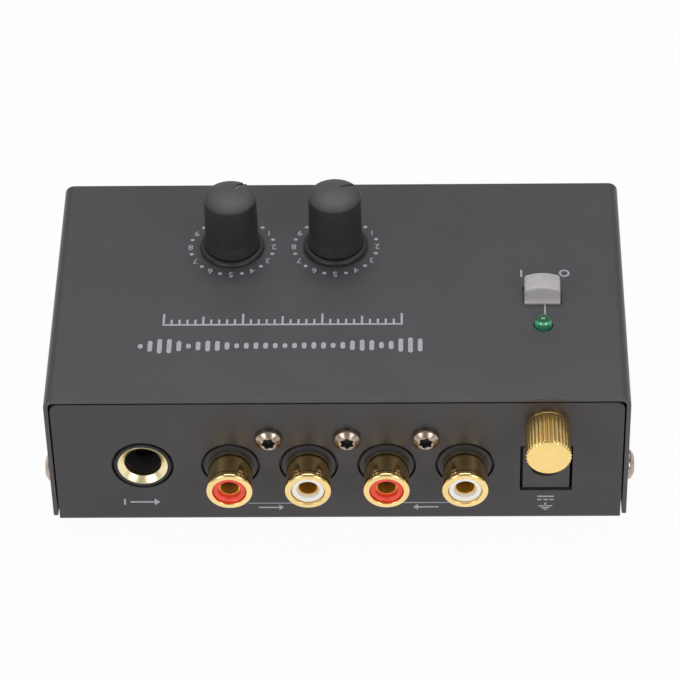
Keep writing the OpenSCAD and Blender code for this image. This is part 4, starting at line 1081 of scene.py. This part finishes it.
def dot(shape, x, y):
    outline = []
    for j in range(DOT_SIDES):
        angle = 2 * math.pi * j / DOT_SIDES
        outline.append((x + DOT_RX * math.cos(angle), y + DOT_RY * math.sin(angle)))
    shape.prism(outline, TOP_PRINT, 0, INK)


def digit(shape, text, place):
    curve = bpy.data.curves.new("digit", "FONT")
    curve.body = text
    curve.size = DIGIT_SIZE
    curve.align_x = "CENTER"
    curve.align_y = "CENTER"
    curve.extrude = INK / 2
    carrier = new_object("digit", curve)
    mesh = evaluated_mesh(carrier)
    shape.add(place @ up_from(0, 0, INK / 2), mesh)
    bpy.data.objects.remove(carrier)


dials = Shape()
for side in ("left", "right"):
    axis = middle(side + "_knob_core")
    for number in range(1, 10):
        x, y = on_dial(axis, DIAL_FRONT + (DIAL_MIDDLE - number) * NUMBER_STEP)
        digit(dials, str(number), up_from(x, y, TOP_Z) @ Matrix.Rotation(math.pi, 4, "Z"))
    for step in range(-9, 10, 2):
        dot(dials, *on_dial(axis, DIAL_FRONT + step * DOT_STEP))
piece_of("dial_print", dials, "case", "print_ink")

# The line between the button and the light
LINK_X = 37.4
LINK_HALF_W = 0.125
LINK_KEY_Y = key.y - KEY_HALF_D - 0.25
LINK_LIGHT_Y = led_high.y + 0.65
link = Shape()
bar(link, TOP_PRINT, LINK_X - LINK_HALF_W, LINK_KEY_Y, LINK_X + LINK_HALF_W, LINK_LIGHT_Y)
piece_of("link_print", link, "case", "print_ink")

CAP_STEP = 30
RING_STEPS = 24
ARROW_HEAD = 1.2

def capsule(shape, place, x, y0, y1, width):
    """An upright bar with round ends."""
    half = width / 2
    outline = []
    for start, y in ((0, y1 - half), (180, y0 + half)):
        for a in range(start, start + 181, CAP_STEP):
            outline.append((x + half * math.cos(math.radians(a)), y + half * math.sin(math.radians(a))))
    shape.prism(outline, place, 0, INK)


def ring(shape, place, x, y, r, width):
    """A flat ring whose band has r as its middle."""
    angles = [math.radians(360 * i / RING_STEPS) for i in range(RING_STEPS + 1)]
    outer = [(x + (r + width / 2) * math.cos(a), y + (r + width / 2) * math.sin(a)) for a in angles]
    inner = [(x + (r - width / 2) * math.cos(a), y + (r - width / 2) * math.sin(a)) for a in angles]
    for i in range(RING_STEPS):
        shape.prism([inner[i], outer[i], outer[i + 1], inner[i + 1]], place, 0, INK)


def arrow(shape, place, x, y, length, half_h, stroke):
    """A plain arrow along X, which points to +X where its length is positive."""
    way = 1 if length > 0 else -1
    tip, tail = x + length / 2, x - length / 2
    neck = tip - way * half_h * ARROW_HEAD
    corners = [
        (tail, y - stroke / 2), (neck, y - stroke / 2), (neck, y - half_h), (tip, y),
        (neck, y + half_h), (neck, y + stroke / 2), (tail, y + stroke / 2),
    ]
    shape.prism(corners if way > 0 else corners[::-1], place, 0, INK)


# A row of level bars and a plain scale stand where the top carries words.
WAVE_LEFT, WAVE_RIGHT, WAVE_Y = -35.4, 14.8, -11.1
WAVE_BARS = 30
WAVE_BEAT = 0.62
WAVE_SWELL = 0.21
SWELL_MEAN = 0.55
SWELL_DEPTH = 0.45
LEVEL_LEAST = 0.6
LEVEL_RISE = 1.45
LEVEL_W = 0.85
wave_print = Shape()
for i in range(WAVE_BARS):
    x = WAVE_LEFT + (WAVE_RIGHT - WAVE_LEFT) * i / (WAVE_BARS - 1)
    swell = abs(math.sin(i * WAVE_BEAT)) * (SWELL_MEAN + SWELL_DEPTH * math.cos(i * WAVE_SWELL))
    half_h = LEVEL_LEAST + LEVEL_RISE * swell
    capsule(wave_print, TOP_PRINT, x, WAVE_Y - half_h, WAVE_Y + half_h, LEVEL_W)
piece_of("level_print", wave_print, "case", "print_ink")

SCALE_LEFT, SCALE_RIGHT, SCALE_Y = -31.5, 11.5, -5.45
SCALE_STEPS = 30
TICK_HALF = 0.2
TICK_RISES = (2.9, 1.4, 1.4, 1.4, 1.4, 2.2, 1.4, 1.4, 1.4, 1.4)
scale_print = Shape()
bar(
    scale_print, TOP_PRINT,
    SCALE_LEFT - TICK_HALF, SCALE_Y - TICK_HALF, SCALE_RIGHT + TICK_HALF, SCALE_Y + TICK_HALF,
)
for i in range(SCALE_STEPS + 1):
    x = SCALE_LEFT + (SCALE_RIGHT - SCALE_LEFT) * i / SCALE_STEPS
    rise = TICK_RISES[i % len(TICK_RISES)]
    bar(scale_print, TOP_PRINT, x - TICK_HALF, SCALE_Y + TICK_HALF, x + TICK_HALF, SCALE_Y + rise)
piece_of("scale_print", scale_print, "case", "print_ink")

# Beside the button: a bar for on and a ring for off
POWER_Y = 8.1
ON_LEFT = 33.15
ON_RIGHT = 33.55
ON_HALF_H = 0.95
OFF_X = 41.2
power_print = Shape()
bar(power_print, TOP_PRINT, ON_LEFT, POWER_Y - ON_HALF_H, ON_RIGHT, POWER_Y + ON_HALF_H)
ring(power_print, TOP_PRINT, OFF_X, POWER_Y, r=0.8, width=0.38)
piece_of("power_print", power_print, "case", "print_ink")

# Plain signs on the connector panel
PANEL_PRINT = on_panel(0, 0)
JACK_SIGN_Z = CASE_FLOOR + 4.75
STOP_LEFT = jack.x - 3.9
STOP_RIGHT = jack.x - 3.55
STOP_HALF_H = 0.75
PAIR_LINE_Z = CASE_FLOOR + 4.3
PAIR_LINE_HALF = 0.09
PAIR_HALF_W = 4.1
PAIR_SIGN_Z = CASE_FLOOR + 3.2
panel_print = Shape()
arrow(panel_print, PANEL_PRINT, jack.x, JACK_SIGN_Z, length=5.4, half_h=0.85, stroke=0.36)
bar(panel_print, PANEL_PRINT, STOP_LEFT, JACK_SIGN_Z - STOP_HALF_H, STOP_RIGHT, JACK_SIGN_Z + STOP_HALF_H)
for left, way in ((0, 1), (2, -1)):
    centre = (RCA_ROW[left] + RCA_ROW[left + 1]) / 2
    line_low, line_high = PAIR_LINE_Z - PAIR_LINE_HALF, PAIR_LINE_Z + PAIR_LINE_HALF
    bar(panel_print, PANEL_PRINT, centre - PAIR_HALF_W, line_low, centre + PAIR_HALF_W, line_high)
    arrow(panel_print, PANEL_PRINT, centre, PAIR_SIGN_Z, length=way * 4.6, half_h=0.72, stroke=0.32)
piece_of("panel_print", panel_print, "case", "print_ink")

# The DC sign, a line over three dashes, and below it the ground sign, a stem on three bars
SUPPLY_Z = CASE_FLOOR + 5.3
DC_LINE = (SUPPLY_Z + 0.3, SUPPLY_Z + 0.62)
DC_DASH = (SUPPLY_Z - 0.5, SUPPLY_Z - 0.2)
DC_HALF_W = 1.5
DASH_STEP = 1.1
DASH_HALF_W = 0.4
GROUND_Z = CASE_FLOOR + 3.2
STEM = (GROUND_Z + 0.15, GROUND_Z + 0.95)
STEM_HALF_W = 0.16
EARTH_T = 0.28
EARTH_BARS = ((0.15, 1.25), (-0.3, 0.8), (-0.75, 0.35))
supply_print = Shape()
bar(supply_print, PANEL_PRINT, post.x - DC_HALF_W, DC_LINE[0], post.x + DC_HALF_W, DC_LINE[1])
for i in (-1, 0, 1):
    dash = post.x + DASH_STEP * i
    bar(supply_print, PANEL_PRINT, dash - DASH_HALF_W, DC_DASH[0], dash + DASH_HALF_W, DC_DASH[1])
bar(supply_print, PANEL_PRINT, post.x - STEM_HALF_W, STEM[0], post.x + STEM_HALF_W, STEM[1])
for rise, half_w in EARTH_BARS:
    low = GROUND_Z + rise - EARTH_T / 2
    bar(supply_print, PANEL_PRINT, post.x - half_w, low, post.x + half_w, low + EARTH_T)
piece_of("supply_print", supply_print, "case", "print_ink")

# Studio ----------------------------------------------------------------------

CAMERA_NEAR = 10
CAMERA_FAR = 20000
FLOOR_GLOW = 0.96
FLOOR_REACH = 1500
WORLD_GLOW = 0.32
LIGHT_AIM = (0, 0, 15)

# Place, size and power of each light
LIGHTS = {
    "top": ((0, 190, 620), (520, 320), 1.66),
    "front_left": ((-330, -440, 290), (240, 240), 0.83),
    "front_right": ((330, -440, 290), (240, 240), 0.83),
}


def camera():
    """The camera, at the photograph's viewing angle."""
    azimuth, elevation, roll = (
        math.radians(v) for v in (CAMERA_AZIMUTH, CAMERA_ELEVATION, CAMERA_ROLL)
    )
    back = Vector((
        math.sin(azimuth) * math.cos(elevation),
        -math.cos(azimuth) * math.cos(elevation),
        math.sin(elevation),
    ))
    level = (-back).cross(Vector((0, 0, 1))).normalized()
    upright = level.cross(-back)
    right = level * math.cos(roll) + upright * math.sin(roll)
    up = upright * math.cos(roll) - level * math.sin(roll)
    place = (Vector(CAMERA_TARGET) + back * CAMERA_DISTANCE) * MM
    data = bpy.data.cameras.new("camera")
    data.lens = CAMERA_LENS
    data.sensor_width = CAMERA_SENSOR
    data.clip_start = CAMERA_NEAR * MM
    data.clip_end = CAMERA_FAR * MM
    made = new_object("camera", data)
    turn = Matrix((right, up, back)).transposed().to_4x4()
    made.matrix_world = Matrix.Translation(place) @ turn
    bpy.context.scene.camera = made


def area_light(name, place, size, power):
    """A white light that shines on the part."""
    data = bpy.data.lights.new(name, "AREA")
    data.shape = "RECTANGLE"
    data.size, data.size_y = (s * MM for s in size)
    data.energy = power
    made = new_object(name, data)
    made.location = Vector(place) * MM
    aim = Vector(LIGHT_AIM) * MM - made.location
    made.rotation_euler = aim.to_track_quat("-Z", "Y").to_euler()


def floor():
    """A white floor that shows as white and keeps the object's shadow."""
    made = Finish("floor_white")
    paper = made.noise(30, detail=3)
    made.link(
        made.ramp(paper, [(0.3, linear((244, 244, 244))), (0.7, linear((246, 246, 246)))]),
        made.shader.inputs["Base Color"],
    )
    made.shader.inputs["Roughness"].default_value = 0.9
    made.shader.inputs["Specular IOR Level"].default_value = 0.1
    path = made.node("ShaderNodeLightPath")
    seen = path.outputs["Is Camera Ray"]
    for kind in ("Is Glossy Ray", "Is Transmission Ray"):
        seen = made.maths("MAXIMUM", seen, path.outputs[kind])
    glow = made.node("ShaderNodeEmission")
    glow.inputs["Strength"].default_value = 1
    glow.inputs["Color"].default_value = (1, 1, 1, 1)
    both = made.node("ShaderNodeMixShader")
    made.link(made.maths("MULTIPLY", seen, FLOOR_GLOW), both.inputs["Fac"])
    made.link(made.shader.outputs["BSDF"], both.inputs[1])
    made.link(glow.outputs["Emission"], both.inputs[2])
    made.link(both.outputs["Shader"], made.tree.nodes["Material Output"].inputs["Surface"])
    sheet = Shape()
    corners = ((-1, -1), (1, -1), (1, 1), (-1, 1))
    sheet.faces.append([
        sheet.point(up_from(0, 0, 0), x * FLOOR_REACH, y * FLOOR_REACH, 0) for x, y in corners
    ])
    mesh = sheet.built("floor")
    mesh.materials.append(made.material)
    new_object("floor", mesh)


def world():
    """Even white light from all round."""
    made = bpy.data.worlds.new("studio")
    made.use_nodes = True
    bpy.context.scene.world = made
    tree = made.node_tree
    background = tree.nodes["Background"]
    background.inputs["Color"].default_value = (1, 1, 1, 1)
    background.inputs["Strength"].default_value = WORLD_GLOW


camera()
floor()
world()
for name, (place, size, power) in LIGHTS.items():
    area_light(name, place, size, power)
bpy.context.scene.view_settings.view_transform = "Standard"
